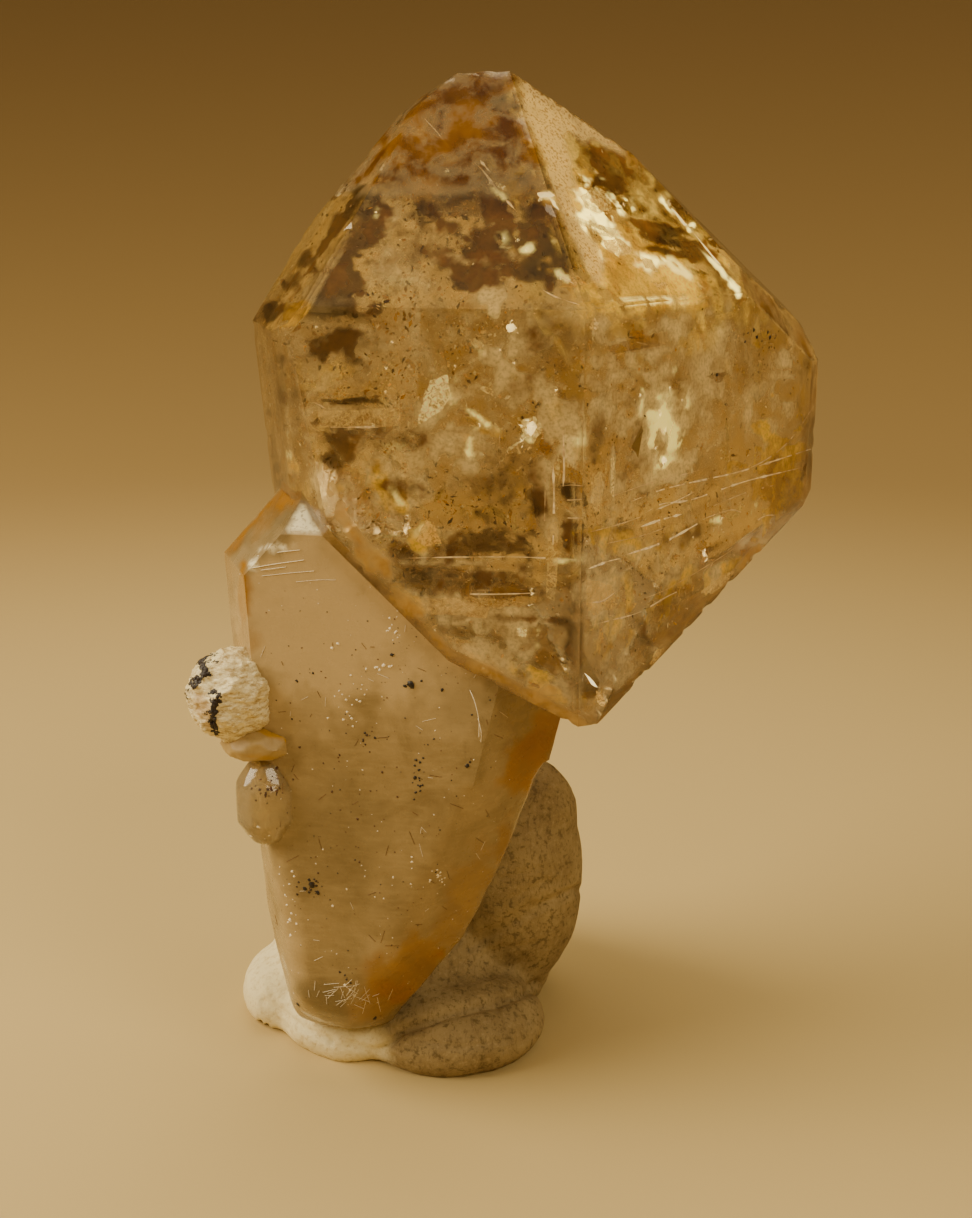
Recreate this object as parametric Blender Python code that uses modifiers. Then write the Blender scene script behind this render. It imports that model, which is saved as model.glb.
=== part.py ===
"""Smoky quartz crystal standing in a lump of soft putty.

Lengths are in millimetres and become metres when a mesh is made.
The specimen is one grown solid: a stubby clear head, a milky stem with its own
small end, a ribbed side crystal and a round knob.  The putty is a second solid
that carries the specimen and keeps a thin gap to it.
"""
import math

import bmesh
import bpy
from mathutils import Matrix, Vector

MM = 0.001
ROUGH_SIZE = 110.0
GAP = 0.3

# Middle of the whole part's footprint, which is put on the origin.
FOOTPRINT_MIDDLE = (1.514, 6.056)

# Each crystal face is (turn, lean, reach).  Turn is the heading of the face in
# degrees from the front towards the right, lean is the angle between the face
# normal and straight up, and reach is its distance from a point on the floor
# under the ridge of the head.
HEAD_FACES = (
    (-10.0, 90.0, 2.14),
    (50.0, 90.0, 4.55),
    (66.0, 90.0, 9.17),
    (170.0, 90.0, 14.3),
    (-125.0, 87.0, 11.75),
    (-71.0, 96.0, 4.16),
    (-56.0, 97.0, 2.53),
    (-10.0, 51.8, 22.7),
    (50.0, 51.8, 24.6),
    (67.3, 61.6, 22.94),
    (79.9, 44.9, 31.33),
    (170.0, 44.0, 33.88),
    (-75.0, 38.0, 33.45),
    (-70.0, 51.8, 26.34),
    (-130.0, 51.8, 30.45),
    (-69.3, 131.5, -12.01),
    (-104.8, 154.8, -18.1),
    (117.6, 157.2, -15.2),
)
FRONT_FACE = HEAD_FACES[0]
RIGHT_FACE = HEAD_FACES[1]

STEM_FACES = (
    (-10.0, 90.0, 1.73),
    (170.0, 90.0, 6.64),
    (-70.0, 92.0, 8.24),
    (-10.0, 51.8, 16.91),
    (-70.0, 51.8, 21.59),
    (-130.0, 51.8, 23.12),
    (-71.3, 93.3, 7.93),
    (-65.5, 96.4, 6.99),
    (-68.9, 98.3, 6.93),
    (-25.0, 134.7, -0.41),
    (-132.0, 94.7, 8.91),
    (-144.0, 108.9, 6.27),
    (-153.6, 121.2, 4.26),
    (39.8, 100.6, -1.84),
    (39.8, 105.2, -3.03),
    (36.3, 107.5, -3.54),
    (32.6, 116.8, -4.42),
    (135.0, 98.0, 0.44),
    (128.7, 103.2, -0.84),
    (132.3, 105.0, -1.15),
    (134.0, 113.7, -2.06),
    (11.3, 153.0, -2.95),
    (153.9, 146.3, -1.44),
)

# Ledges on the head: start and end on the face, width of the growth band and how
# far its lower rim stands proud.  Points are (right, back, up).  Each band runs
# out at its ends, where it is cut at the end slant.
LEDGE_THICK = 0.9
LEDGE_END_SLANT = math.radians(68.0)
FRONT_LEDGES = (
    ((-6.1, -1.05, 29.4), (-0.5, -2.0, 29.7), 0.9, 0.09),
    ((-3.0, -1.61, 24.4), (3.3, -2.75, 24.6), 0.8, 0.07),
    ((-2.3, -1.73, 23.1), (1.8, -2.48, 23.3), 0.6, 0.06),
)
RIGHT_LEDGES = (
    ((4.0, -2.3, 25.3), (14.2, 9.9, 26.5), 0.9, 0.09),
    ((4.4, -1.84, 26.5), (13.0, 8.4, 26.9), 0.7, 0.07),
    ((5.7, -0.3, 27.4), (9.6, 4.4, 27.6), 0.5, 0.06),
    ((4.2, -2.1, 23.6), (12.2, 7.4, 24.1), 0.8, 0.08),
    ((4.1, -2.2, 22.0), (9.6, 4.4, 22.3), 0.6, 0.07),
)

# Side crystal, its foot crystal and the round knob: middle, half sizes, number
# of flat sides and twist in degrees.
SIDE_MIDDLE = (-10.42, 0.45, 18.25)
SIDE_HALF = (1.75, 1.8, 1.95)
SIDE_FLATS = 7
SIDE_TWIST = 12.0
RIB_COUNT = 7
RIB_PITCH = 0.48
RIB_THICK = 0.2
RIB_PROUD = 0.09
RIB_SLOPE = math.radians(10.0)

FOOT_CRYSTAL_MIDDLE = (-9.4, 0.45, 16.25)
FOOT_CRYSTAL_HALF = (1.5, 1.5, 0.8)
FOOT_CRYSTAL_FLATS = 6
FOOT_CRYSTAL_TWIST = 5.0
KNOB_MIDDLE = (-9.15, 0.3, 13.65)
KNOB_HALF = (1.3, 1.3, 2.0)
KNOB_FLATS = 9
KNOB_TWIST = 0.0
NODULE_LEANS = (24.0, 56.0, 90.0, 124.0, 156.0)

# Putty lumps: middle, half sizes and turn about the upright axis in degrees.
PUTTY_LUMPS = (
    ((1.2, 8.8, 6.0), (3.65, 3.65, 5.9), 0.0),
    ((2.0, 8.8, 9.3), (2.5, 2.5, 2.9), 0.0),
    ((0.6, 9.2, 1.4), (2.75, 3.6, 2.6), 0.0),
    ((-1.6, 4.2, 1.0), (4.5, 3.9, 2.2), 0.0),
    ((-9.9, 7.2, 1.0), (2.0, 3.0, 1.9), 0.0),
    ((-7.2, 4.2, 0.8), (3.2, 2.0, 1.7), -40.0),
    ((-4.5, 8.2, 2.2), (6.0, 5.0, 3.3), 0.0),
    ((-2.0, 11.4, 3.2), (5.2, 3.5, 4.8), 0.0),
)
PUTTY_GRAIN = 0.55
PUTTY_SMOOTHING = 6

QUARTZ_COLOUR = (0.52, 0.36, 0.17, 1.0)
QUARTZ_ROUGHNESS = 0.12
PUTTY_COLOUR = (0.42, 0.36, 0.26, 1.0)
PUTTY_ROUGHNESS = 0.75


def clear_scene():
    for thing in list(bpy.data.objects):
        bpy.data.objects.remove(thing)


def collection(name):
    group = bpy.data.collections.new(name)
    bpy.context.scene.collection.children.link(group)
    return group


def material(name, colour, roughness):
    mat = bpy.data.materials.new(name)
    mat.use_nodes = True
    shader = mat.node_tree.nodes["Principled BSDF"]
    shader.inputs["Base Color"].default_value = colour
    shader.inputs["Roughness"].default_value = roughness
    shader.inputs["Metallic"].default_value = 0.0
    return mat


def face_normal(turn, lean):
    """Unit normal of a face from its heading and its angle from upright."""
    turn, lean = math.radians(turn), math.radians(lean)
    side = math.sin(lean)
    return Vector((side * math.sin(turn), -side * math.cos(turn), math.cos(lean)))


def trim(bm, point, normal):
    """Cut away what lies beyond a plane and close the cut with one flat face."""
    everything = bm.verts[:] + bm.edges[:] + bm.faces[:]
    bmesh.ops.bisect_plane(
        bm, geom=everything, dist=1e-7, plane_co=point, plane_no=normal, clear_outer=True
    )
    rim = [edge for edge in bm.edges if edge.is_boundary]
    if rim:
        bmesh.ops.contextual_create(bm, geom=rim)


def crystal_mesh(faces, grow=0.0, middle=(0.0, 0.0, 0.0)):
    """Convex crystal cut from a cube by its faces, each pushed out by grow."""
    bm = bmesh.new()
    bmesh.ops.create_cube(bm, size=ROUGH_SIZE * MM)
    for turn, lean, reach in faces:
        normal = face_normal(turn, lean)
        trim(bm, normal * (reach + grow) * MM, normal)
    bmesh.ops.translate(bm, verts=bm.verts[:], vec=Vector(middle) * MM)
    bmesh.ops.recalc_face_normals(bm, faces=bm.faces[:])
    return bm


def nodule_faces(half, flats, twist):
    """Faces of a rounded crystal: rings of flats that touch an ellipsoid."""
    faces = [(0.0, 0.0, half[2]), (0.0, 180.0, half[2])]
    for ring, lean in enumerate(NODULE_LEANS):
        for flat in range(flats):
            turn = twist + 360.0 * (flat + 0.5 * (ring % 2)) / flats
            normal = face_normal(turn, lean)
            reach = Vector((normal.x * half[0], normal.y * half[1], normal.z * half[2])).length
            faces.append((turn, lean, reach))
    return tuple(faces)


def side_crystal_meshes():
    """The side crystal with its ribs, its foot crystal and the round knob."""
    side = nodule_faces(SIDE_HALF, SIDE_FLATS, SIDE_TWIST)
    foot = nodule_faces(FOOT_CRYSTAL_HALF, FOOT_CRYSTAL_FLATS, FOOT_CRYSTAL_TWIST)
    knob = nodule_faces(KNOB_HALF, KNOB_FLATS, KNOB_TWIST)
    meshes = [crystal_mesh(side, middle=SIDE_MIDDLE)]
    slope = Vector((-math.sin(RIB_SLOPE), 0.0, math.cos(RIB_SLOPE)))
    for rib in range(RIB_COUNT):
        height = (rib - 0.5 * (RIB_COUNT - 1)) * RIB_PITCH
        at = Vector(SIDE_MIDDLE) + slope * height
        bm = crystal_mesh(side, RIB_PROUD, SIDE_MIDDLE)
        trim(bm, (at + slope * 0.5 * RIB_THICK) * MM, slope)
        trim(bm, (at - slope * 0.5 * RIB_THICK) * MM, -slope)
        bmesh.ops.recalc_face_normals(bm, faces=bm.faces[:])
        meshes.append(bm)
    meshes.append(crystal_mesh(foot, middle=FOOT_CRYSTAL_MIDDLE))
    meshes.append(crystal_mesh(knob, middle=KNOB_MIDDLE))
    return meshes


def ledge_mesh(face, start, end, width, proud):
    """Growth band on a face: a slab whose lower rim is proud and upper rim sunk."""
    turn, lean, reach = face
    normal = face_normal(turn, lean)
    start, end = Vector(start), Vector(end)
    length = (end - start).length
    along = (end - start).normalized()
    up = normal.cross(along)
    tilt = math.asin(proud / width)
    slope = up * math.cos(tilt) - normal * math.sin(tilt)
    out = normal * math.cos(tilt) + up * math.sin(tilt)
    rim = (start + end) * 0.5
    rim += normal * (reach + proud - rim.dot(normal))
    centre = rim + slope * 0.5 * width - out * 0.5 * LEDGE_THICK
    axes = Matrix((along, slope, out)).transposed().to_4x4()
    size = Matrix.Diagonal((length * MM, width * MM, LEDGE_THICK * MM, 1.0))
    bm = bmesh.new()
    bmesh.ops.create_cube(bm, size=1.0, matrix=Matrix.Translation(centre * MM) @ axes @ size)
    for side in (-1.0, 1.0):
        corner = rim + along * side * 0.5 * length
        end_normal = along * side * math.cos(LEDGE_END_SLANT) + slope * math.sin(LEDGE_END_SLANT)
        trim(bm, corner * MM, end_normal)
    bmesh.ops.recalc_face_normals(bm, faces=bm.faces[:])
    return bm


def add_object(name, bm, group, mat=None):
    mesh = bpy.data.meshes.new(name)
    bm.to_mesh(mesh)
    bm.free()
    thing = bpy.data.objects.new(name, mesh)
    group.objects.link(thing)
    if mat:
        mesh.materials.append(mat)
    return thing


def add_helper(name, bm, group):
    thing = add_object(name, bm, group)
    thing.hide_render = True
    thing.display_type = "WIRE"
    return thing


def combine(thing, other, operation):
    step = thing.modifiers.new(other.name, "BOOLEAN")
    step.operation = operation
    step.solver = "EXACT"
    step.object = other


def build_crystal(group, helpers):
    """Head, stem, side crystals and ledges joined in one solid."""
    mat = material("quartz", QUARTZ_COLOUR, QUARTZ_ROUGHNESS)
    crystal = add_object("quartz_crystal", crystal_mesh(HEAD_FACES), group, mat)
    meshes = [crystal_mesh(STEM_FACES)] + side_crystal_meshes()
    meshes += [ledge_mesh(FRONT_FACE, *ledge) for ledge in FRONT_LEDGES]
    meshes += [ledge_mesh(RIGHT_FACE, *ledge) for ledge in RIGHT_LEDGES]
    for number, bm in enumerate(meshes):
        combine(crystal, add_helper(f"joined_{number:02d}", bm, helpers), "UNION")
    return crystal


def build_putty(group, helpers):
    """Soft lumps fused in one skin, cut flat at the floor and around the specimen."""
    mat = material("putty", PUTTY_COLOUR, PUTTY_ROUGHNESS)
    bm = bmesh.new()
    for middle, half, turn in PUTTY_LUMPS:
        size = Matrix.Diagonal((half[0] * MM, half[1] * MM, half[2] * MM, 1.0))
        spin = Matrix.Rotation(math.radians(turn), 4, "Z")
        place = Matrix.Translation(Vector(middle) * MM) @ spin @ size
        bmesh.ops.create_icosphere(bm, subdivisions=4, radius=1.0, matrix=place)
    putty = add_object("putty", bm, group, mat)
    skin = putty.modifiers.new("skin", "REMESH")
    skin.mode = "VOXEL"
    skin.voxel_size = PUTTY_GRAIN * MM
    soften = putty.modifiers.new("soften", "SMOOTH")
    soften.factor = 0.5
    soften.iterations = PUTTY_SMOOTHING
    floor = bmesh.new()
    below = Matrix.Translation((0.0, 0.0, -0.25 * ROUGH_SIZE * MM))
    half_deep = Matrix.Diagonal((ROUGH_SIZE * MM, ROUGH_SIZE * MM, 0.5 * ROUGH_SIZE * MM, 1.0))
    bmesh.ops.create_cube(floor, size=1.0, matrix=below @ half_deep)
    combine(putty, add_helper("floor_cut", floor, helpers), "DIFFERENCE")
    pocket = crystal_mesh(STEM_FACES, GAP)
    combine(putty, add_helper("stem_pocket", pocket, helpers), "DIFFERENCE")
    return putty


def main():
    clear_scene()
    helpers = collection("Cutters")
    build_crystal(collection("quartz_crystal"), helpers)
    build_putty(collection("putty"), helpers)
    for thing in bpy.data.objects:
        thing.location = (-FOOTPRINT_MIDDLE[0] * MM, -FOOTPRINT_MIDDLE[1] * MM, 0.0)


main()
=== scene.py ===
"""Looks of the smoky quartz crystal in its putty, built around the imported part.

Shapes are worked out in millimetres on the specimen's own axes and become metres,
centred on the footprint, when an object is made.  Places marked as pixels are
spots in a 972 by 1218 picture seen by the scene's own camera.
"""

import math

import bmesh
import bpy
import numpy as np
from mathutils import Matrix, Vector
from mathutils.bvhtree import BVHTree
from mathutils.geometry import delaunay_2d_cdt


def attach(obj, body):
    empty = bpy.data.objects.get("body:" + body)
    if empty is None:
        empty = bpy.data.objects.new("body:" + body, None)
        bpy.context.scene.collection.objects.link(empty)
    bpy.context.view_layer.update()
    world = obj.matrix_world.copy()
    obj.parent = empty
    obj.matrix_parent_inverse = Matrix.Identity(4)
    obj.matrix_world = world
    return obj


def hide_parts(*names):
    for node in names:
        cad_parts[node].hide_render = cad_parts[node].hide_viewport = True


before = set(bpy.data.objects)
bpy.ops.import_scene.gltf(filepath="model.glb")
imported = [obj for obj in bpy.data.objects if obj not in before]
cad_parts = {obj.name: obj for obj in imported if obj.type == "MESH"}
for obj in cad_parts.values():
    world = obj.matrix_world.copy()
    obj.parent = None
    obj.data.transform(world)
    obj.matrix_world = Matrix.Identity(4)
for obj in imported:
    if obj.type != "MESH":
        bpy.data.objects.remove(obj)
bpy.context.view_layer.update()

MM = 0.001
FAR_OFF = 1e9
FOOTPRINT_MIDDLE = Vector((1.514, 6.056, 0.0))
ROUGH_SIZE = 110.0
QUARTZ_IOR = 1.544

# Camera: picture size and focal length in pixels, downward tilt, and the point on
# the specimen's axis that it looks at from its distance, in millimetres.
PICTURE = (972, 1218)
FOCAL = 1500.0
SENSOR = 36.0
CAMERA_TILT = math.radians(16.0)
CAMERA_AIM = Vector((0.0, 0.0, 22.0))
CAMERA_DISTANCE = 60.0

# Crystal faces as (turn, lean, reach): heading of the face in degrees from the
# front towards the right, angle of its normal from upright, distance in mm.
HEAD_FACES = (
    (-10.0, 90.0, 2.14),
    (50.0, 90.0, 4.55),
    (66.0, 90.0, 9.17),
    (170.0, 90.0, 14.3),
    (-125.0, 87.0, 11.75),
    (-71.0, 96.0, 4.16),
    (-56.0, 97.0, 2.53),
    (-10.0, 51.8, 22.7),
    (50.0, 51.8, 24.6),
    (67.3, 61.6, 22.94),
    (79.9, 44.9, 31.33),
    (170.0, 44.0, 33.88),
    (-75.0, 38.0, 33.45),
    (-70.0, 51.8, 26.34),
    (-130.0, 51.8, 30.45),
    (-69.3, 131.5, -12.01),
    (-104.8, 154.8, -18.1),
    (117.6, 157.2, -15.2),
)
FRONT, RIGHT, RIGHT_STRIP, BACK, LEFT_BACK, LEFT_OUTER, LEFT_INNER = range(7)
UPPER_FRONT, UPPER_RIGHT, SHOULDER, FAR_SHOULDER, UPPER_BACK = range(7, 12)
TOP_LEFT, UPPER_LEFT, UPPER_LEFT_BACK, UNDER_LEFT, UNDER_FRONT, UNDER_RIGHT = range(12, 18)

STEM_FACES = (
    (-10.0, 90.0, 1.73),
    (170.0, 90.0, 6.64),
    (-70.0, 92.0, 8.24),
    (-10.0, 51.8, 16.91),
    (-70.0, 51.8, 21.59),
    (-130.0, 51.8, 23.12),
    (-71.3, 93.3, 7.93),
    (-65.5, 96.4, 6.99),
    (-68.9, 98.3, 6.93),
    (-25.0, 134.7, -0.41),
    (-132.0, 94.7, 8.91),
    (-144.0, 108.9, 6.27),
    (-153.6, 121.2, 4.26),
    (39.8, 100.6, -1.84),
    (39.8, 105.2, -3.03),
    (36.3, 107.5, -3.54),
    (32.6, 116.8, -4.42),
    (135.0, 98.0, 0.44),
    (128.7, 103.2, -0.84),
    (132.3, 105.0, -1.15),
    (134.0, 113.7, -2.06),
    (11.3, 153.0, -2.95),
    (153.9, 146.3, -1.44),
)
STEM_FRONT = 0
STEM_TOP_FACET = 3

SIDE_MIDDLE = (-10.42, 0.45, 18.25)
SIDE_HALF = (1.75, 1.8, 1.95)
FOOT_CRYSTAL_MIDDLE = (-9.4, 0.45, 16.25)
FOOT_CRYSTAL_HALF = (1.5, 1.5, 0.8)
KNOB_MIDDLE = (-9.15, 0.3, 13.65)
KNOB_HALF = (1.3, 1.3, 2.0)

# Putty lumps: middle, half sizes and turn about the upright axis in degrees.
PUTTY_LUMPS = (
    ((1.2, 8.8, 6.0), (3.65, 3.65, 5.9), 0.0),
    ((2.0, 8.8, 9.3), (2.5, 2.5, 2.9), 0.0),
    ((0.6, 9.2, 1.4), (2.75, 3.6, 2.6), 0.0),
    ((-1.6, 4.2, 1.0), (4.5, 3.9, 2.2), 0.0),
    ((-9.9, 7.2, 1.0), (2.0, 3.0, 1.9), 0.0),
    ((-7.2, 4.2, 0.8), (3.2, 2.0, 1.7), -40.0),
    ((-4.5, 8.2, 2.2), (6.0, 5.0, 3.3), 0.0),
    ((-2.0, 11.4, 3.2), (5.2, 3.5, 4.8), 0.0),
)


def value_noise(points, seed):
    """Smooth noise from -1 to 1 with one unit between its knots."""
    table = np.random.default_rng(seed).uniform(-1.0, 1.0, 4096)
    base = np.floor(points).astype(np.int64)
    part = points - base
    part = part * part * (3.0 - 2.0 * part)
    total = np.zeros(len(points))
    for dx in (0, 1):
        for dy in (0, 1):
            for dz in (0, 1):
                x, y, z = base[:, 0] + dx, base[:, 1] + dy, base[:, 2] + dz
                knot = (x * 73856093 ^ y * 19349663 ^ z * 83492791) & 4095
                weight = np.abs(1 - dx - part[:, 0]) * np.abs(1 - dy - part[:, 1])
                total += table[knot] * weight * np.abs(1 - dz - part[:, 2])
    return total


def cloud(points, size, seed, octaves=3):
    """Layered noise whose largest lumps are about size across."""
    points = np.asarray(points, dtype=float)
    total = np.zeros(len(points))
    strength, sum_strength = 1.0, 0.0
    for octave in range(octaves):
        total += strength * value_noise(points / size + 17.3 * octave, seed + octave)
        sum_strength += strength
        strength *= 0.5
        size *= 0.5
    return total / sum_strength


def ramp(value, low, high):
    """Smooth step from 0 at low to 1 at high."""
    part = np.clip((np.asarray(value, dtype=float) - low) / (high - low), 0.0, 1.0)
    return part * part * (3.0 - 2.0 * part)


def face_normal(turn, lean):
    turn, lean = math.radians(turn), math.radians(lean)
    side = math.sin(lean)
    return Vector((side * math.sin(turn), -side * math.cos(turn), math.cos(lean)))


HEAD_NORMALS = np.array([face_normal(turn, lean) for turn, lean, reach in HEAD_FACES])
HEAD_REACHES = np.array([reach for turn, lean, reach in HEAD_FACES])
STEM_NORMALS = np.array([face_normal(turn, lean) for turn, lean, reach in STEM_FACES])
STEM_REACHES = np.array([reach for turn, lean, reach in STEM_FACES])

FORWARD = Vector((0.0, math.cos(CAMERA_TILT), -math.sin(CAMERA_TILT)))
UPWARD = Vector((0.0, math.sin(CAMERA_TILT), math.cos(CAMERA_TILT)))
CAMERA_PLACE = CAMERA_AIM - FORWARD * CAMERA_DISTANCE


def sight(pixel):
    """Unit direction from the camera through a pixel."""
    right = (pixel[0] - PICTURE[0] / 2.0) / FOCAL
    down = (pixel[1] - PICTURE[1] / 2.0) / FOCAL
    return (FORWARD + Vector((right, 0.0, 0.0)) - UPWARD * down).normalized()


def on_face(faces, index, pixel, depth=0.0):
    """Point where the line of sight meets a face, then depth further in, bent as
    light is bent on its way into the crystal."""
    turn, lean, reach = faces[index]
    normal = face_normal(turn, lean)
    ray = sight(pixel)
    point = CAMERA_PLACE + ray * ((reach - normal.dot(CAMERA_PLACE)) / normal.dot(ray))
    if depth:
        cosine = -normal.dot(ray)
        inner = math.sqrt(max(0.0, 1.0 - (1.0 - cosine * cosine) / QUARTZ_IOR ** 2))
        bent = ray / QUARTZ_IOR + normal * (cosine / QUARTZ_IOR - inner)
        point = point + bent * (depth / inner)
    return point


def pixels_of(points):
    """Where the camera sees points in the open, in pixels."""
    away = np.asarray(points, dtype=float) - np.array(CAMERA_PLACE)
    depth = away @ np.array(FORWARD)
    right = PICTURE[0] / 2.0 + FOCAL * away[:, 0] / depth
    down = PICTURE[1] / 2.0 - FOCAL * (away @ np.array(UPWARD)) / depth
    return np.column_stack((right, down))


def seen_through(points, index):
    """Where the camera sees points inside the head through one of its faces."""
    normal, eye = HEAD_NORMALS[index], np.array(CAMERA_PLACE)
    deep = np.maximum(HEAD_REACHES[index] - points @ normal, 0.0)
    run = points - eye
    surface = eye + run * ((HEAD_REACHES[index] - normal @ eye) / (run @ normal))[:, None]
    for _ in range(6):
        ray = surface - eye
        ray /= np.linalg.norm(ray, axis=1)[:, None]
        cosine = -(ray @ normal)
        inner = np.sqrt(1.0 - (1.0 - cosine * cosine) / QUARTZ_IOR ** 2)
        bent = ray / QUARTZ_IOR + (cosine / QUARTZ_IOR - inner)[:, None] * normal
        surface = points - bent * (deep / inner)[:, None]
    return pixels_of(surface)


def spots(pixels, marks, seed, rough=0.35, soft=0.3):
    """Sum of soft ragged ellipses in the picture: (right, down, half width, half
    height, turn in degrees, strength)."""
    total = np.zeros(len(pixels))
    flat = np.column_stack((pixels, np.zeros(len(pixels))))
    wander, drift, sway = (
        rough * (cloud(flat, 26.0, seed + 40 * step, 3) + cloud(flat, 9.0, seed + 40 * step + 9, 3))
        for step in range(3)
    )
    for right, down, half_wide, half_high, turn, strength in marks:
        angle = math.radians(turn)
        du, dv = pixels[:, 0] - right, pixels[:, 1] - down
        along = (du * math.cos(angle) + dv * math.sin(angle)) / half_wide + drift
        across = (dv * math.cos(angle) - du * math.sin(angle)) / half_high + sway
        away = np.sqrt(along * along + across * across) + 0.6 * wander
        total += strength * (1.0 - ramp(away, 1.0 - soft, 1.0 + soft))
    return total


def new_object(name, points, faces, mat, smooth=True, sharp=None, paint=None):
    """Mesh object from points in millimetres, with painted values per point."""
    points = (np.asarray(points, dtype=float) - np.array(FOOTPRINT_MIDDLE)) * MM
    mesh = bpy.data.meshes.new(name)
    mesh.from_pydata([tuple(point) for point in points], [], [tuple(face) for face in faces])
    for label, values in (paint or {}).items():
        layer = mesh.attributes.new(label, "FLOAT", "POINT")
        layer.data.foreach_set("value", np.asarray(values, dtype=np.float32))
    if smooth:
        mesh.shade_smooth()
        if sharp is not None:
            mesh.set_sharp_from_angle(angle=math.radians(sharp))
    mesh.materials.append(mat)
    thing = bpy.data.objects.new(name, mesh)
    bpy.context.scene.collection.objects.link(thing)
    return thing


def mesh_arrays(bm):
    bm.verts.index_update()
    points = np.array([vert.co for vert in bm.verts])
    faces = [[vert.index for vert in face.verts] for face in bm.faces]
    return points, faces


def trim(bm, point, normal):
    everything = bm.verts[:] + bm.edges[:] + bm.faces[:]
    bmesh.ops.bisect_plane(
        bm, geom=everything, dist=1e-5, plane_co=point, plane_no=normal, clear_outer=True
    )
    rim = [edge for edge in bm.edges if edge.is_boundary]
    if rim:
        bmesh.ops.contextual_create(bm, geom=rim)


def cut_crystal(faces, grow=0.0):
    """Convex crystal cut from a cube by its faces, in millimetres."""
    bm = bmesh.new()
    bmesh.ops.create_cube(bm, size=ROUGH_SIZE)
    for turn, lean, reach in faces:
        normal = face_normal(turn, lean)
        trim(bm, normal * (reach + grow), normal)
    bmesh.ops.recalc_face_normals(bm, faces=bm.faces[:])
    return bm


def netted_crystal(faces, spacing):
    """Crystal whose flat faces each carry an even net of small triangles.

    Gives the points, the triangles, the index of each point's face (-1 on an
    edge), its distance to the face's rim, and the mean normal at each point."""
    normals = np.array([face_normal(turn, lean) for turn, lean, reach in faces])
    bm = cut_crystal(faces)
    bm.verts.index_update()
    bm.edges.index_update()
    points, numbers, owners, gaps, triangles = [], {}, [], [], []

    def number_of(key, place, owner, gap):
        if key is None or key not in numbers:
            points.append(place)
            owners.append(owner)
            gaps.append(gap)
            if key is None:
                return len(points) - 1
            numbers[key] = len(points) - 1
        return numbers[key]

    for face in bm.faces:
        normal = face.normal
        owner = int(np.argmax(normals @ np.array(normal)))
        across = normal.orthogonal().normalized()
        up = normal.cross(across)
        middle = face.calc_center_median()
        rim = []
        for loop in face.loops:
            start, end = loop.vert, loop.link_loop_next.vert
            low, high = loop.edge.verts
            count = max(1, math.ceil(loop.edge.calc_length() / spacing))
            for step in range(count):
                share = step / count
                place = start.co.lerp(end.co, share)
                if step == 0:
                    key = ("corner", start.index)
                elif start is low:
                    key = ("edge", loop.edge.index, step)
                else:
                    key = ("edge", loop.edge.index, count - step)
                rim.append(number_of(key, place, -1, 0.0))
        rim_flat = [((points[n] - middle).dot(across), (points[n] - middle).dot(up)) for n in rim]
        corners = np.array([((loop.vert.co - middle).dot(across), (loop.vert.co - middle).dot(up))
                            for loop in face.loops])
        low_corner, high_corner = corners.min(axis=0), corners.max(axis=0)
        row_gap = spacing * math.sqrt(0.75)
        rows = np.arange(low_corner[1], high_corner[1], row_gap)
        columns = np.arange(low_corner[0], high_corner[0], spacing)
        grid = np.array([(x + 0.5 * spacing * (row % 2), y)
                         for row, y in enumerate(rows) for x in columns])
        following = np.roll(corners, -1, axis=0)
        along = following - corners
        lengths = np.linalg.norm(along, axis=1)
        inner_gap = np.full(len(grid), FAR_OFF)
        for corner, run, length in zip(corners, along, lengths):
            offset = grid - corner
            inner_gap = np.minimum(inner_gap, (run[0] * offset[:, 1] - run[1] * offset[:, 0]) / length)
        keep = inner_gap > 0.55 * spacing
        inner = [number_of(None, middle + across * x + up * y, owner, gap)
                 for (x, y), gap in zip(grid[keep], inner_gap[keep])]
        flat = [Vector(pair) for pair in rim_flat] + [Vector(pair) for pair in grid[keep]]
        local = rim + inner
        out = delaunay_2d_cdt(flat, [], [list(range(len(rim)))], 1, 1e-6)
        for triangle in out[2]:
            triangles.append([local[out[3][corner][0]] for corner in triangle])
    bm.free()
    points = np.array(points)
    owners, gaps = np.array(owners), np.array(gaps)
    mean = np.zeros_like(points)
    corners = np.array(triangles)
    spans = np.cross(points[corners[:, 1]] - points[corners[:, 0]],
                     points[corners[:, 2]] - points[corners[:, 0]])
    for column in range(3):
        np.add.at(mean, corners[:, column], spans)
    mean /= np.linalg.norm(mean, axis=1)[:, None]
    return points, triangles, owners, gaps, mean


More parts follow.
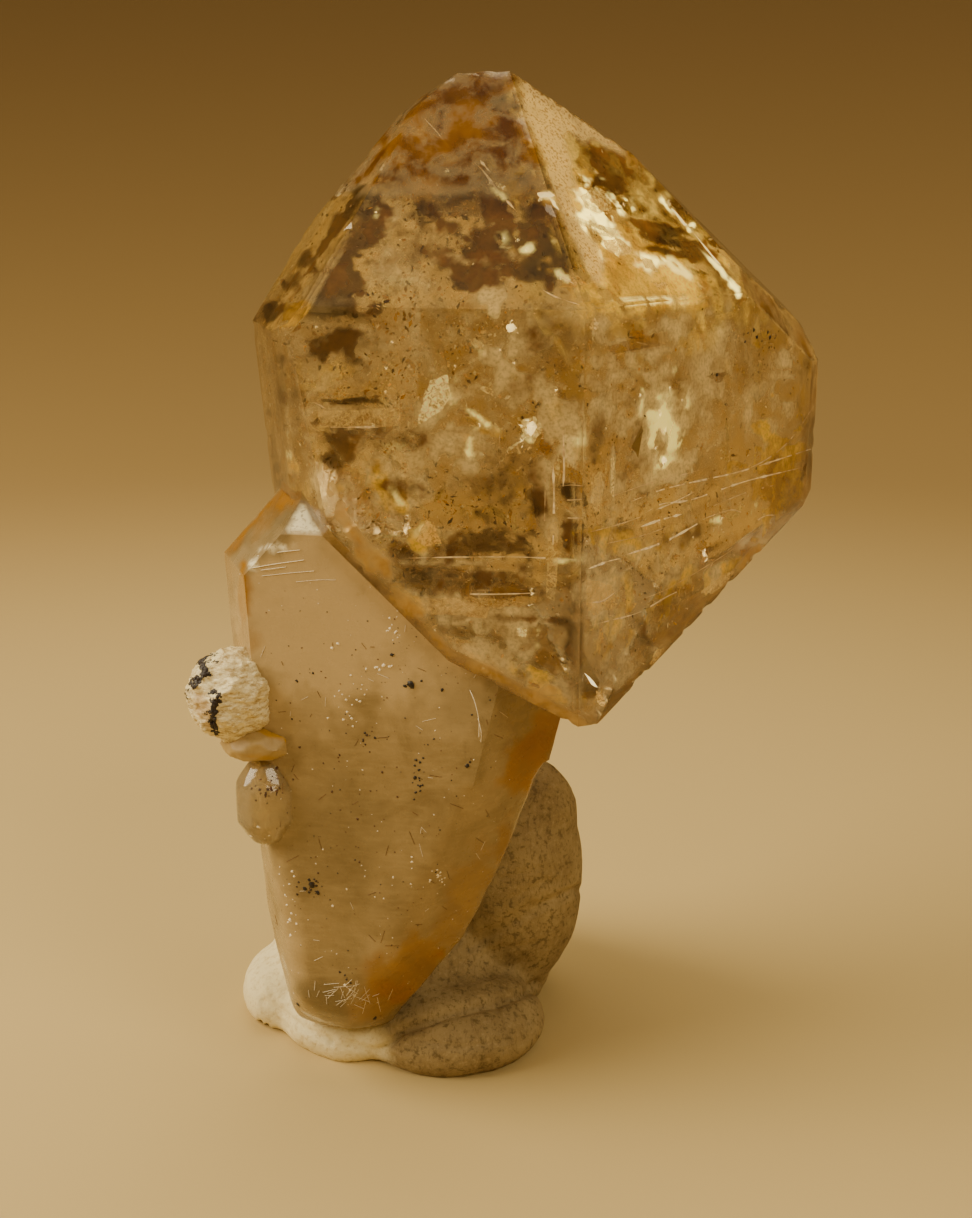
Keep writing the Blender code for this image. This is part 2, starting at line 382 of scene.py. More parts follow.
class Shader:
    """Short way to build a node material around one Principled shader."""

    def __init__(self, name):
        self.mat = bpy.data.materials.new(name)
        self.mat.use_nodes = True
        self.mat.cycles.emission_sampling = "NONE"
        self.tree = self.mat.node_tree
        self.main = self.tree.nodes["Principled BSDF"]
        self.coords = self.tree.nodes.new("ShaderNodeTexCoord").outputs["Object"]

    def set(self, **values):
        for key, value in values.items():
            self.main.inputs[key.replace("_", " ")].default_value = value

    def link(self, source, socket):
        self.tree.links.new(source, self.main.inputs[socket])

    def node(self, kind, inputs=None, **settings):
        node = self.tree.nodes.new(kind)
        for key, value in settings.items():
            setattr(node, key, value)
        for key, value in (inputs or {}).items():
            if isinstance(value, bpy.types.NodeSocket):
                self.tree.links.new(value, node.inputs[key])
            else:
                node.inputs[key].default_value = value
        return node

    def stretched(self, stretch, turn=(0.0, 0.0, 0.0)):
        inputs = {"Vector": self.coords, "Scale": stretch, "Rotation": turn}
        return self.node("ShaderNodeMapping", inputs).outputs["Vector"]

    def noise(self, size_mm, detail=4.0, rough=0.55, twist=0.0, stretch=None, turn=(0.0, 0.0, 0.0)):
        vector = self.stretched(stretch, turn) if stretch else self.coords
        inputs = {"Vector": vector, "Scale": 1.0 / (size_mm * MM), "Detail": detail,
                  "Roughness": rough, "Distortion": twist}
        return self.node("ShaderNodeTexNoise", inputs).outputs["Fac"]

    def shards(self, size_mm, twist_mm):
        """Random grey for each of many angular cells."""
        scale = 1.0 / (size_mm * MM)
        wander = self.node("ShaderNodeTexNoise", {"Vector": self.coords, "Scale": scale, "Detail": 3.0})
        offset = self.node("ShaderNodeVectorMath", {0: wander.outputs["Color"], 1: (0.5, 0.5, 0.5)},
                           operation="SUBTRACT").outputs[0]
        offset = self.node("ShaderNodeVectorMath", {0: offset, 3: twist_mm * MM},
                           operation="SCALE").outputs[0]
        moved = self.node("ShaderNodeVectorMath", {0: self.coords, 1: offset}, operation="ADD").outputs[0]
        cells = self.node("ShaderNodeTexVoronoi", {"Vector": moved, "Scale": scale})
        return self.node("ShaderNodeSeparateColor", {0: cells.outputs["Color"]}).outputs[0]

    def painted(self, label):
        return self.node("ShaderNodeAttribute", attribute_name=label).outputs["Fac"]

    def math(self, operation, first, second=0.0, clamp=False):
        node = self.node("ShaderNodeMath", {0: first, 1: second}, operation=operation)
        node.use_clamp = clamp
        return node.outputs[0]

    def between(self, value, low, high, to_low=0.0, to_high=1.0):
        inputs = {"Value": value, "From Min": low, "From Max": high,
                  "To Min": to_low, "To Max": to_high}
        return self.node("ShaderNodeMapRange", inputs, interpolation_type="SMOOTHSTEP").outputs[0]

    def mix(self, share, first, second, blend="MIX"):
        node = self.node("ShaderNodeMix", data_type="RGBA", blend_type=blend)
        for socket, value in ((node.inputs[0], share), (node.inputs[6], first), (node.inputs[7], second)):
            if isinstance(value, bpy.types.NodeSocket):
                self.tree.links.new(value, socket)
            else:
                socket.default_value = value
        return node.outputs[2]

    def bump(self, height, strength, depth_mm, normal=None):
        inputs = {"Height": height, "Strength": strength, "Distance": depth_mm * MM}
        if normal is not None:
            inputs["Normal"] = normal
        return self.node("ShaderNodeBump", inputs).outputs["Normal"]


def colour(red, green, blue):
    """Colour from screen values of 0 to 255."""
    def linear(value):
        value /= 255.0
        return value / 12.92 if value <= 0.04045 else ((value + 0.055) / 1.055) ** 2.4
    return (linear(red), linear(green), linear(blue), 1.0)


class Batch:
    """Many small shapes gathered into one mesh."""

    def __init__(self, *labels):
        self.points, self.faces, self.count = [], [], 0
        self.paint = {label: [] for label in labels}

    def add(self, points, faces, **paint):
        points = np.asarray(points, dtype=float)
        self.points.append(points)
        self.faces += [[corner + self.count for corner in face] for face in faces]
        self.count += len(points)
        for label, values in self.paint.items():
            values.append(np.broadcast_to(np.asarray(paint.get(label, 0.0), dtype=float), len(points)))

    def make(self, name, mat, **options):
        paint = {label: np.concatenate(values) for label, values in self.paint.items()}
        return new_object(name, np.concatenate(self.points), self.faces, mat, paint=paint, **options)


def even_line(corners, step):
    """Points along a smooth line through some corners, about step apart."""
    corners = np.asarray([tuple(corner) for corner in corners], dtype=float)
    ends = np.vstack((2.0 * corners[0] - corners[1], corners, 2.0 * corners[-1] - corners[-2]))
    line = []
    for before, start, end, after in zip(ends[:-3], ends[1:-2], ends[2:-1], ends[3:]):
        count = max(1, int(round(np.linalg.norm(end - start) / step)))
        for part in np.arange(count) / count:
            square, cube = part * part, part ** 3
            line.append(0.5 * (2.0 * start + (end - before) * part
                               + (2.0 * before - 5.0 * start + 4.0 * end - after) * square
                               + (3.0 * start - before - 3.0 * end + after) * cube))
    return np.array(line + [corners[-1]])


def add_ribbon(batch, line, normal, half_width, seed, gaps=0.0, **paint):
    """Thin flat strip along a line, ragged in width and broken by gaps."""
    normal = np.asarray(normal, dtype=float)
    along = np.gradient(line, axis=0)
    along /= np.linalg.norm(along, axis=1)[:, None]
    across = np.cross(normal, along)
    across /= np.linalg.norm(across, axis=1)[:, None]
    marks = np.arange(len(line), dtype=float)
    ragged = cloud(np.column_stack((marks, marks * 0.0, marks * 0.0)), 5.0, seed, 3)
    ends = np.minimum(marks, marks[::-1]) / max(2.0, 0.15 * len(line))
    half = half_width * np.clip(0.75 + ragged, 0.05, 1.6) * np.clip(ends, 0.08, 1.0)
    broken = cloud(np.column_stack((marks, marks * 0.0 + 9.0, marks * 0.0)), 9.0, seed + 7, 2) < gaps - 1.0
    points = np.vstack((line - across * half[:, None], line + across * half[:, None]))
    count = len(line)
    faces = [(step, step + 1, count + step + 1, count + step)
             for step in range(count - 1) if not (broken[step] or broken[step + 1])]
    batch.add(points, faces, **paint)


def add_tube(batch, line, radius, **paint):
    """Fine hair of five sides along a line."""
    along = np.gradient(line, axis=0)
    along /= np.linalg.norm(along, axis=1)[:, None]
    side = np.cross(along, (0.31, 0.42, 0.85))
    side /= np.linalg.norm(side, axis=1)[:, None]
    other = np.cross(along, side)
    rings = []
    for turn in np.arange(5) * 0.4 * math.pi:
        rings.append(line + radius * (side * math.cos(turn) + other * math.sin(turn)))
    count = len(line)
    faces = []
    for turn in range(5):
        here, there = turn * count, ((turn + 1) % 5) * count
        faces += [(here + step, here + step + 1, there + step + 1, there + step) for step in range(count - 1)]
    batch.add(np.vstack(rings), faces, **paint)


def fan_faces(rings, sides):
    """Faces of a net of rings round a middle point, numbered from the middle out."""
    faces = [(0, 1 + side, 1 + (side + 1) % sides) for side in range(sides)]
    for ring in range(rings - 1):
        here, there = 1 + ring * sides, 1 + (ring + 1) * sides
        faces += [(here + side, there + side, there + (side + 1) % sides, here + (side + 1) % sides)
                  for side in range(sides)]
    return faces


def add_wisp(batch, middle, normal, half_long, half_wide, turn, bend, seed, **paint):
    """Small bent sheet with a ragged rim, such as a healed crack."""
    normal = Vector(normal).normalized()
    across = normal.orthogonal().normalized()
    across = Matrix.Rotation(turn, 3, normal) @ across
    up = normal.cross(across)
    rings, sides = 9, 30
    angle = np.arange(sides) * 2.0 * math.pi / sides
    circle = np.column_stack((np.cos(angle) * 1.5, np.sin(angle) * 1.5, angle * 0.0))
    rim = 0.72 + 0.45 * cloud(circle, 0.9, seed, 3)
    flat = [np.zeros((1, 2))]
    for ring in range(1, rings + 1):
        share = ring / rings
        flat.append(np.column_stack((np.cos(angle), np.sin(angle))) * (rim * share)[:, None])
    flat = np.vstack(flat)
    place = flat * (half_long, half_wide)
    height = bend * cloud(np.column_stack((place, place[:, 0] * 0.0)), 0.8 * half_long + 0.2, seed + 5, 3)
    height += 0.5 * bend * flat[:, 0] ** 2
    points = (np.array(middle) + place[:, :1] * np.array(across) + place[:, 1:] * np.array(up)
              + height[:, None] * np.array(normal))
    rim_fade = np.concatenate(([1.0], np.repeat(1.0 - (np.arange(rings) / (rings - 1.0)) ** 2, sides)))
    batch.add(points, fan_faces(rings, sides), fade=rim_fade, **paint)


# Marks are (right, down, half width, half height, turn in degrees, strength) in
# picture pixels, one table for each face of the head that they are seen through.
# The shine marks in these tables are painted glints.
FRONT_MARKS = {
    "haze": ((345, 415, 40, 11, 0, 0.9), (440, 396, 18, 26, 20, 0.9), (560, 430, 26, 60, 0, 0.6),
             (592, 325, 10, 18, 0, 0.7), (480, 345, 26, 16, 30, 0.6), (400, 360, 60, 26, 0, 0.4),
             (570, 450, 9, 22, 0, 0.9), (550, 472, 8, 14, 0, 0.8), (549, 520, 6, 60, 0, 0.8),
             (470, 445, 26, 22, 30, 0.6), (426, 535, 24, 16, 0, 0.8), (470, 612, 66, 13, 6, 0.8),
             (480, 655, 50, 18, 24, 0.8), (560, 700, 36, 20, 0, 0.6), (520, 640, 16, 14, 0, 0.6),
             (382, 492, 26, 24, 35, 0.6), (510, 380, 30, 20, 0, 0.4), (585, 640, 6, 60, 0, 0.4),
             (330, 385, 14, 20, 0, 0.4), (500, 575, 26, 6, 0, 0.4), (455, 562, 50, 4, 0, 0.7),
             (510, 400, 60, 60, 0, 0.45),
             (440, 460, 40, 40, 0, 0.3), (540, 360, 30, 50, 0, 0.35)),
    "dark": ((336, 446, 18, 22, 0, 0.8), (372, 452, 44, 22, 0, 0.5), (413, 485, 20, 13, 0, 0.9),
             (350, 402, 22, 3, 0, 0.7), (493, 546, 42, 12, 0, 0.8), (436, 574, 38, 16, 0, 0.9),
             (503, 580, 32, 13, 0, 0.7), (568, 491, 8, 8, 0, 1.0), (570, 535, 9, 14, 0, 1.0),
             (538, 503, 7, 15, 0, 0.8), (490, 617, 70, 4, 4, 0.8), (556, 626, 30, 26, 0, 0.6),
             (442, 630, 7, 8, 0, 0.8), (500, 478, 44, 22, 0, 0.5), (528, 400, 24, 20, 0, 0.5),
             (325, 348, 32, 18, 0, 1.1), (574, 655, 8, 34, 0, 0.7), (450, 510, 30, 12, 0, 0.5),
             (410, 440, 50, 12, 0, 0.5), (560, 350, 20, 40, 0, 0.45), (530, 340, 16, 30, 0, 0.4),
             (520, 560, 60, 50, 0, 0.35), (480, 640, 60, 8, 20, 0.4)),
    "gold": ((384, 498, 22, 18, 40, 0.7), (426, 530, 16, 12, 0, 0.9), (488, 428, 22, 7, 25, 0.8),
             (340, 500, 10, 30, -30, 0.8), (372, 556, 12, 34, -42, 1.0), (400, 600, 10, 26, -45, 1.0),
             (545, 692, 22, 13, 40, 1.0), (490, 665, 40, 12, 26, 0.6), (595, 700, 12, 20, -30, 0.8),
             (375, 455, 40, 24, 0, 0.4), (480, 300, 30, 12, 0, 0.4), (592, 330, 8, 26, 0, 0.7),
             (520, 545, 60, 40, 0, 0.3), (590, 600, 8, 90, 0, 0.5)),
    "shine": ((530, 430, 8, 9, 40, 1.0), (489, 424, 15, 3, 32, 0.9), (470, 441, 3, 12, 10, 0.7),
              (452, 385, 5, 8, 30, 0.7), (462, 450, 14, 3, 30, 0.6), (568, 560, 18, 2.5, 0, 0.8),
              (440, 400, 12, 14, 20, 0.5), (574, 437, 5, 10, 0, 0.6), (480, 350, 10, 5, 60, 0.5),
              (425, 532, 9, 6, 0, 0.6), (590, 680, 8, 3, 50, 1.0), (538, 638, 2.5, 8, 0, 0.6),
              (477, 427, 4, 3, 0, 0.8), (390, 488, 9, 3, 50, 0.6), (400, 500, 8, 3, 50, 0.5)),
}
UPPER_FRONT_MARKS = {
    "haze": ((470, 115, 100, 46, 0, -1.4), (387, 200, 12, 30, 15, 0.9), (385, 275, 22, 34, 10, 0.6),
             (480, 256, 38, 5, -4, 0.9),
             (440, 290, 50, 30, 0, 0.5), (530, 300, 40, 16, 0, 0.5), (450, 160, 24, 12, 0, 0.5),
             (440, 200, 10, 14, -30, 0.5), (495, 303, 12, 12, 0, 0.8), (420, 235, 20, 10, 0, 0.3)),
    "dark": ((350, 250, 24, 48, 10, 1.5), (336, 288, 30, 40, 0, 1.4), (322, 322, 28, 30, 0, 1.5),
             (480, 100, 60, 10, 0, 0.6), (440, 250, 60, 24, 0, 0.5), (500, 240, 50, 40, 0, 0.4),
             (422, 215, 18, 20, 0, 0.8), (476, 236, 32, 15, 5, 1.0), (474, 276, 18, 11, 0, 1.0),
             (530, 272, 24, 16, 0, 1.0), (550, 226, 22, 22, 40, 1.2), (540, 160, 12, 18, 0, 1.1),
             (384, 167, 8, 8, 0, 0.8), (500, 215, 30, 12, 30, 0.9), (470, 190, 26, 16, 0, 0.7),
             (410, 175, 20, 8, 0, 0.4), (565, 255, 12, 26, 0, 0.8), (440, 310, 30, 10, 0, 0.4)),
    "gold": ((497, 150, 24, 14, 0, 1.0), (430, 150, 40, 10, 0, 0.9), (545, 200, 16, 8, 35, 0.8),
             (480, 112, 80, 24, 0, 1.5), (520, 140, 24, 46, 0, 1.3), (455, 150, 60, 16, 0, 0.8),
             (570, 285, 12, 16, 0, 0.6),
             (545, 240, 30, 40, 0, 0.5), (400, 170, 40, 12, -30, 0.6), (450, 125, 50, 14, 0, 0.7)),
    "shine": ((496, 190, 10, 3, 35, 1.0), (379, 180, 4, 4, 0, 1.0), (447, 170, 3, 5, 0, 0.9),
              (527, 249, 5, 4, 0, 1.0), (503, 238, 6, 8, 20, 0.6), (376, 210, 3, 5, 0, 0.8),
              (545, 196, 9, 4, 10, 0.8), (551, 203, 4, 9, -40, 0.8), (566, 278, 10, 3, 25, 0.8),
              (443, 197, 8, 2, 60, 0.5), (556, 243, 8, 2, 40, 0.6)),
}
RIGHT_MARKS = {
    "haze": ((664, 425, 24, 50, 0, 1.6), (648, 420, 40, 60, 0, 0.5), (700, 360, 90, 40, 0, 0.45),
             (735, 410, 60, 50, 0, 0.45),
             (606, 390, 16, 60, 0, 0.6), (600, 596, 20, 26, 0, 0.9), (715, 580, 22, 10, -30, 0.9),
             (598, 490, 6, 26, 0, 0.9), (613, 476, 3, 24, 0, 0.8), (656, 657, 8, 12, -50, 0.9),
             (690, 560, 50, 16, -20, 0.5), (600, 325, 14, 16, 0, 0.8), (650, 540, 60, 12, -14, 0.4),
             (620, 650, 20, 30, 0, 0.4), (780, 350, 20, 20, 0, 0.4), (672, 325, 12, 8, 0, 0.5)),
    "dark": ((634, 345, 27, 8, -10, 0.8), (717, 375, 11, 5, 0, 1.1), (632, 450, 14, 30, 20, 0.9),
             (633, 400, 8, 14, 0, 0.8), (635, 316, 12, 5, -10, 0.9), (690, 320, 12, 10, 0, 0.8),
             (690, 615, 12, 8, -30, 0.9), (645, 640, 8, 18, -20, 0.9), (620, 525, 40, 8, -14, 0.7),
             (814, 466, 7, 34, 0, 1.8), (806, 400, 8, 60, 0, 0.8), (700, 535, 50, 9, -14, 0.6),
             (600, 440, 9, 24, 0, 0.6),
             (740, 450, 20, 6, -20, 0.4), (700, 590, 50, 8, -25, 0.5), (640, 575, 40, 10, -18, 0.5)),
    "gold": ((788, 475, 34, 40, -15, 1.2), (755, 556, 24, 16, -40, 1.1), (600, 705, 16, 20, 0, 0.8),
             (640, 306, 60, 8, 0, 0.9), (690, 590, 60, 20, -35, 0.6), (812, 380, 6, 40, 0, 0.4),
             (655, 530, 60, 16, -12, 0.5), (620, 600, 36, 60, 0, 0.4), (760, 330, 40, 12, 40, 0.5)),
    "shine": ((665, 424, 11, 30, 0, 1.5), (652, 436, 5, 26, 0, 0.9), (664, 461, 6, 5, 0, 1.2),
              (641, 402, 3, 14, 0, 0.8),
              (671, 390, 11, 9, 0, 0.8), (688, 402, 3, 10, 0, 0.6), (655, 658, 9, 3, -50, 0.8),
              (720, 517, 8, 4, -20, 0.9), (754, 511, 2, 7, 20, 0.5), (604, 704, 3, 9, 20, 0.7)),
}
# On the upper right face the gold and shine marks glow strongly: painted light from the left, over partly
# real amber and painted glints.
UPPER_RIGHT_MARKS = {
    "haze": ((540, 118, 24, 44, -25, 1.4), (560, 170, 14, 50, -20, 1.4), (588, 250, 9, 34, -22, 1.4),
             (575, 112, 44, 10, 33, 1.0), (645, 200, 20, 18, 40, 0.7), (680, 276, 20, 18, 0, 0.9),
             (600, 145, 20, 10, 40, 0.5),
             (650, 180, 6, 12, -40, 0.8), (705, 245, 3, 40, -45, 0.9)),
    "dark": ((603, 157, 36, 14, 45, 1.3), (606, 182, 24, 9, 45, 1.2), (655, 226, 36, 5, 12, 1.5),
             (672, 241, 26, 5, 14, 1.5), (668, 252, 24, 4, 10, 1.4), (713, 266, 30, 12, 45, 1.0),
             (640, 172, 12, 9, 45, 0.8), (617, 270, 14, 20, 0, 0.5), (735, 300, 20, 8, 30, 0.8)),
    "gold": ((592, 198, 24, 20, 30, 1.3), (596, 222, 30, 12, 20, 1.3), (617, 247, 20, 12, 0, 1.3),
             (618, 280, 26, 26, 0, 1.1), (650, 265, 20, 14, 40, 1.2), (655, 290, 50, 12, 0, 1.0),
             (685, 278, 30, 16, 20, 0.8), (625, 150, 16, 10, 40, 0.8), (578, 174, 12, 5, 20, 1.0)),
    "shine": ((598, 227, 24, 9, 22, 1.6), (595, 202, 20, 15, 30, 1.3), (582, 186, 8, 12, -30, 0.8),
              (626, 206, 8, 7, 0, 0.9),
              (648, 264, 9, 8, 20, 0.9), (668, 203, 5, 7, -45, 1.2), (691, 228, 5, 5, 0, 1.2),
              (616, 246, 18, 9, 10, 1.2), (735, 286, 8, 3, 45, 0.9), (680, 270, 16, 4, 40, 0.4),
              (575, 215, 12, 3, 30, 0.9), (650, 299, 30, 2, 0, 0.5), (720, 270, 20, 2, 47, 0.7)),
}
UPPER_LEFT_MARKS = {
    "haze": ((325, 275, 5, 50, 35, 0.7), (290, 312, 20, 8, 0, 0.5)),
    "dark": ((310, 260, 9, 70, 35, 1.1), (340, 225, 6, 60, 35, 0.9), (272, 310, 10, 10, 0, 0.9)),
    "gold": ((292, 318, 24, 14, 0, 1.0), (390, 160, 20, 30, 35, 0.5)),
    "shine": (),
}
LEFT_MARKS = {
    "haze": ((312, 440, 10, 80, 0, 0.7), (290, 470, 6, 60, 0, 0.4)),
    "dark": ((277, 410, 9, 80, 0, 0.8), (258, 390, 4, 70, 0, 0.6), (294, 420, 4, 60, 0, 0.6)),
    "gold": ((278, 490, 14, 34, 30, 0.7), (306, 490, 8, 40, -10, 0.5), (262, 420, 6, 60, 0, 0.4)),
    "shine": ((287, 455, 2, 5, 0, 0.6),),
}
NO_MARKS = {"haze": (), "dark": (), "gold": (), "shine": ()}

# Sheets of veils and stains inside the head: face, depth, margin and point spacing
# in mm, strength of their even mist, smoke and amber, then the marks.
VEIL_SHEETS = (
    (FRONT, 0.5, 0.12, 0.11, (0.12, 0.22, 0.1), FRONT_MARKS),
    (FRONT, 1.8, 0.5, 0.17, (0.14, 0.28, 0.14), NO_MARKS),
    (UPPER_FRONT, 0.5, 0.12, 0.11, (0.0, 0.32, 0.1), UPPER_FRONT_MARKS),
    (UPPER_FRONT, 1.8, 0.5, 0.17, (0.05, 0.5, 0.16), NO_MARKS),
    (RIGHT, 0.5, 0.12, 0.11, (0.2, 0.06, 0.1), RIGHT_MARKS),
    (RIGHT, 1.8, 0.5, 0.17, (0.18, 0.2, 0.16), NO_MARKS),
    (UPPER_RIGHT, 0.5, 0.12, 0.11, (0.1, 0.1, 0.2), UPPER_RIGHT_MARKS),
    (UPPER_RIGHT, 2.0, 0.6, 0.17, (0.1, 0.3, 0.4), NO_MARKS),
    (UPPER_LEFT, 0.4, 0.12, 0.14, (0.05, 0.2, 0.1), UPPER_LEFT_MARKS),
    (LEFT_INNER, 0.4, 0.12, 0.14, (0.2, 0.15, 0.2), LEFT_MARKS),
    (LEFT_OUTER, 0.4, 0.12, 0.14, (0.2, 0.2, 0.2), LEFT_MARKS),
)
HEAD_MIDDLE = (1.8, 6.2, 29.0)
HEAD_LOW, HEAD_HIGH = (-12.5, -4.0, 17.0), (16.0, 16.0, 43.0)
HEAD_NET, STEM_NET, PUTTY_GRAIN = 0.24, 0.26, 0.17
SHEET_REACH = 18.0
VEIL_WAVE = 0.25
VEIL_FADE = 0.4
CLEAR_ENOUGH = 0.03

# Random pieces inside the head: how many are tried, and how many are kept.
GRAINS_TRIED = 26000
WISPS_TRIED, WISPS_KEPT = 1500, 150
FACETS_IN_A_SPARKLE = 26
LINE_GROWTH = 1.2
GRAIN_SEED, WISP_SEED, CLUSTER_SEED, SPARKLE_SEED = 400, 450, 440, 800
WISP_FACES = (FRONT, RIGHT, UPPER_FRONT, UPPER_RIGHT, BACK, LEFT_BACK, UPPER_LEFT_BACK)
FACE_ROOM, SMALLEST_WISP = 0.15, 0.03

# Strength of the painted glow that stands in for light spread inside the crystal, for veils, golden veils,
# cracks, lines and sparkles, and the crack tone above which cracks get it.
VEIL_GLOW, GOLDEN_GLOW, CRACK_GLOW, LINE_GLOW, SPARKLE_GLOW = 0.85, 3.4, 0.45, 0.4, 1.5
BRIGHT_TONE = 0.5


def clear_quartz_material():
    shader = Shader("clear_quartz")
    shader.set(IOR=QUARTZ_IOR, Specular_IOR_Level=0.22)
    stain = shader.painted("stain")
    frost_and_reflection = shader.painted("frost_and_reflection")
    film = shader.noise(1.4, 4.0, 0.62, 0.3)
    broad = shader.noise(2.2, 3.0, 0.6)
    pits = shader.noise(0.11, 1.0, 0.6)
    stain = shader.math("MULTIPLY", stain, shader.between(film, 0.25, 0.6, 0.35, 1.0), True)
    amber = shader.mix(shader.between(broad, 0.35, 0.65), colour(140, 90, 4), colour(84, 46, 2))
    gold = shader.math("MULTIPLY", shader.painted("gold"), shader.between(film, 0.2, 0.55, 0.5, 1.0), True)
    honey = shader.mix(shader.between(film, 0.35, 0.65), colour(168, 114, 12), colour(206, 166, 92))
    base = shader.mix(stain, colour(250, 228, 170), amber)
    base = shader.mix(gold, base, honey)
    # Peach frost on the upper right face: a granular surface, partly its own colour and partly a painted
    # reflection.
    grains = shader.between(pits, 0.34, 0.5)
    peach_reflection = shader.mix(grains, colour(186, 142, 78), colour(255, 222, 142))
    frost_reflection_share = shader.math("MULTIPLY", frost_and_reflection, shader.between(film, 0.2, 0.5, 0.7, 1.0), True)
    shader.link(shader.mix(frost_reflection_share, base, peach_reflection), "Base Color")
    rough = shader.between(stain, 0.0, 1.0, 0.012, 0.14)
    shader.link(shader.math("MAXIMUM", rough, shader.math("MULTIPLY", frost_reflection_share, 0.4)), "Roughness")
    solid = shader.between(stain, 0.3, 1.0, 0.0, 0.55)
    solid = shader.math("MAXIMUM", solid, shader.math("MULTIPLY", frost_reflection_share, 0.7))
    solid = shader.math("MAXIMUM", solid, shader.math("MULTIPLY", gold, 0.65))
    shader.link(shader.math("SUBTRACT", 1.0, solid), "Transmission Weight")
    shader.link(shader.bump(shader.noise(0.7, 4.0, 0.6), 0.16, 0.05), "Normal")
    return shader.mat


def shard_tones(flat, size, seed):
    """Random value for each of many angular cells of a plane, about size across."""
    table = np.random.default_rng(seed).random((4096, 3))
    flat = flat / size
    base = np.floor(flat).astype(np.int64)
    nearest, tone = np.full(len(flat), 9.0), np.zeros(len(flat))
    for dx in (-1, 0, 1):
        for dy in (-1, 0, 1):
            cell = base + (dx, dy)
            pick = table[(cell[:, 0] * 73856093 ^ cell[:, 1] * 19349663) & 4095]
            away = ((cell + pick[:, :2] - flat) ** 2).sum(axis=1)
            nearer = away < nearest
            nearest[nearer] = away[nearer]
            tone[nearer] = pick[nearer, 2]
    return tone


def veil_paint(points, flat, seen, number, even, marks):
    """Mist, smoke, amber and painted glints over one sheet, from its marks and noise."""
    seed = 300 + 20 * number
    marked = {label: spots(seen, marks[label], seed + step, 0.8, 0.55)
              for step, label in enumerate(("haze", "dark", "gold", "shine"))}
    wander = np.column_stack((cloud(points, 1.0, seed + 4, 3), cloud(points, 1.0, seed + 5, 3)))
    small = shard_tones((flat + 0.35 * wander) * (1.0, 0.6), 0.42, seed + 6) - 0.5
    large = shard_tones((flat + 0.8 * wander) * (1.0, 0.7), 1.7, seed + 7) - 0.5
    fine = cloud(points, 0.8, seed + 8, 4)
    soft = cloud(points, 3.2, seed + 9, 3)
    other = cloud(points, 2.2, seed + 10, 3)
    silk = np.clip(1.0 - 7.0 * np.abs(cloud(points, 1.5, seed + 11, 3)), 0.0, 1.0)
    haze = ramp(marked["haze"] + even[0] + 0.7 * soft + 0.35 * fine + 0.3 * large + 0.15 * silk, 0.1, 1.1)
    light = 0.34 + 0.42 * marked["haze"] + 0.5 * other + 0.5 * fine + 0.34 * small + 0.22 * silk + 0.2 * large
    dark = ramp(marked["dark"] + even[1] - 0.6 * other + 0.6 * fine + 0.34 * small, 0.2, 1.4)
    gold = marked["gold"] + even[2] + 0.6 * cloud(points, 2.6, seed + 12, 3)
    gold = ramp(gold + 0.3 * fine + 0.3 * small, 0.35, 1.0)
    shine = np.clip(marked["shine"] * ramp(fine + 0.9 * small + 0.3 * silk, -0.25, 0.2), 0.0, 1.0)
    clear = (1.0 - 0.62 * haze) * (1.0 - 0.6 * dark - 0.26 * dark * dark)
    clear = clear * (1.0 - 0.62 * gold) * (1.0 - 0.95 * shine)
    return {"light": np.clip(light, 0.0, 1.0), "dark": dark, "gold": gold, "shine": shine,
            "cover": 1.0 - clear}


def veil_material(name, glow, pale):
    """Mist, smoke, amber and bright cracks, thin enough to see through; all carry a painted glow, and the
    shine marks are painted glints.
    """
    shader = Shader(name)
    light = shader.painted("light")
    grain = shader.noise(0.13, 2.0, 0.6)
    mist = shader.mix(light, colour(128, 90, 36), pale)
    smoke = shader.mix(light, colour(30, 18, 8), colour(116, 76, 34))
    amber = shader.mix(light, colour(126, 70, 7), colour(255, 214, 80))
    tone = shader.mix(shader.painted("gold"), mist, amber)
    tone = shader.mix(shader.painted("dark"), tone, smoke)
    tone = shader.mix(shader.painted("shine"), tone, colour(255, 250, 205))
    tone = shader.mix(shader.between(grain, 0.3, 0.6, 0.35, 0.0), tone, colour(70, 44, 16))
    shader.link(tone, "Base Color")
    painted_glow_tone = shader.mix(1.0, tone, (0.3, 0.3, 0.3, 1.0), "MULTIPLY")
    # Emission is a painted glow of the tone, turning white-gold on the shine marks as painted glints.
    shader.link(shader.mix(shader.painted("shine"), painted_glow_tone, colour(255, 240, 138)), "Emission Color")
    shader.set(Emission_Strength=glow)
    shader.link(shader.painted("cover"), "Alpha")
    shader.set(Roughness=0.5, Specular_IOR_Level=0.12)
    return shader.mat


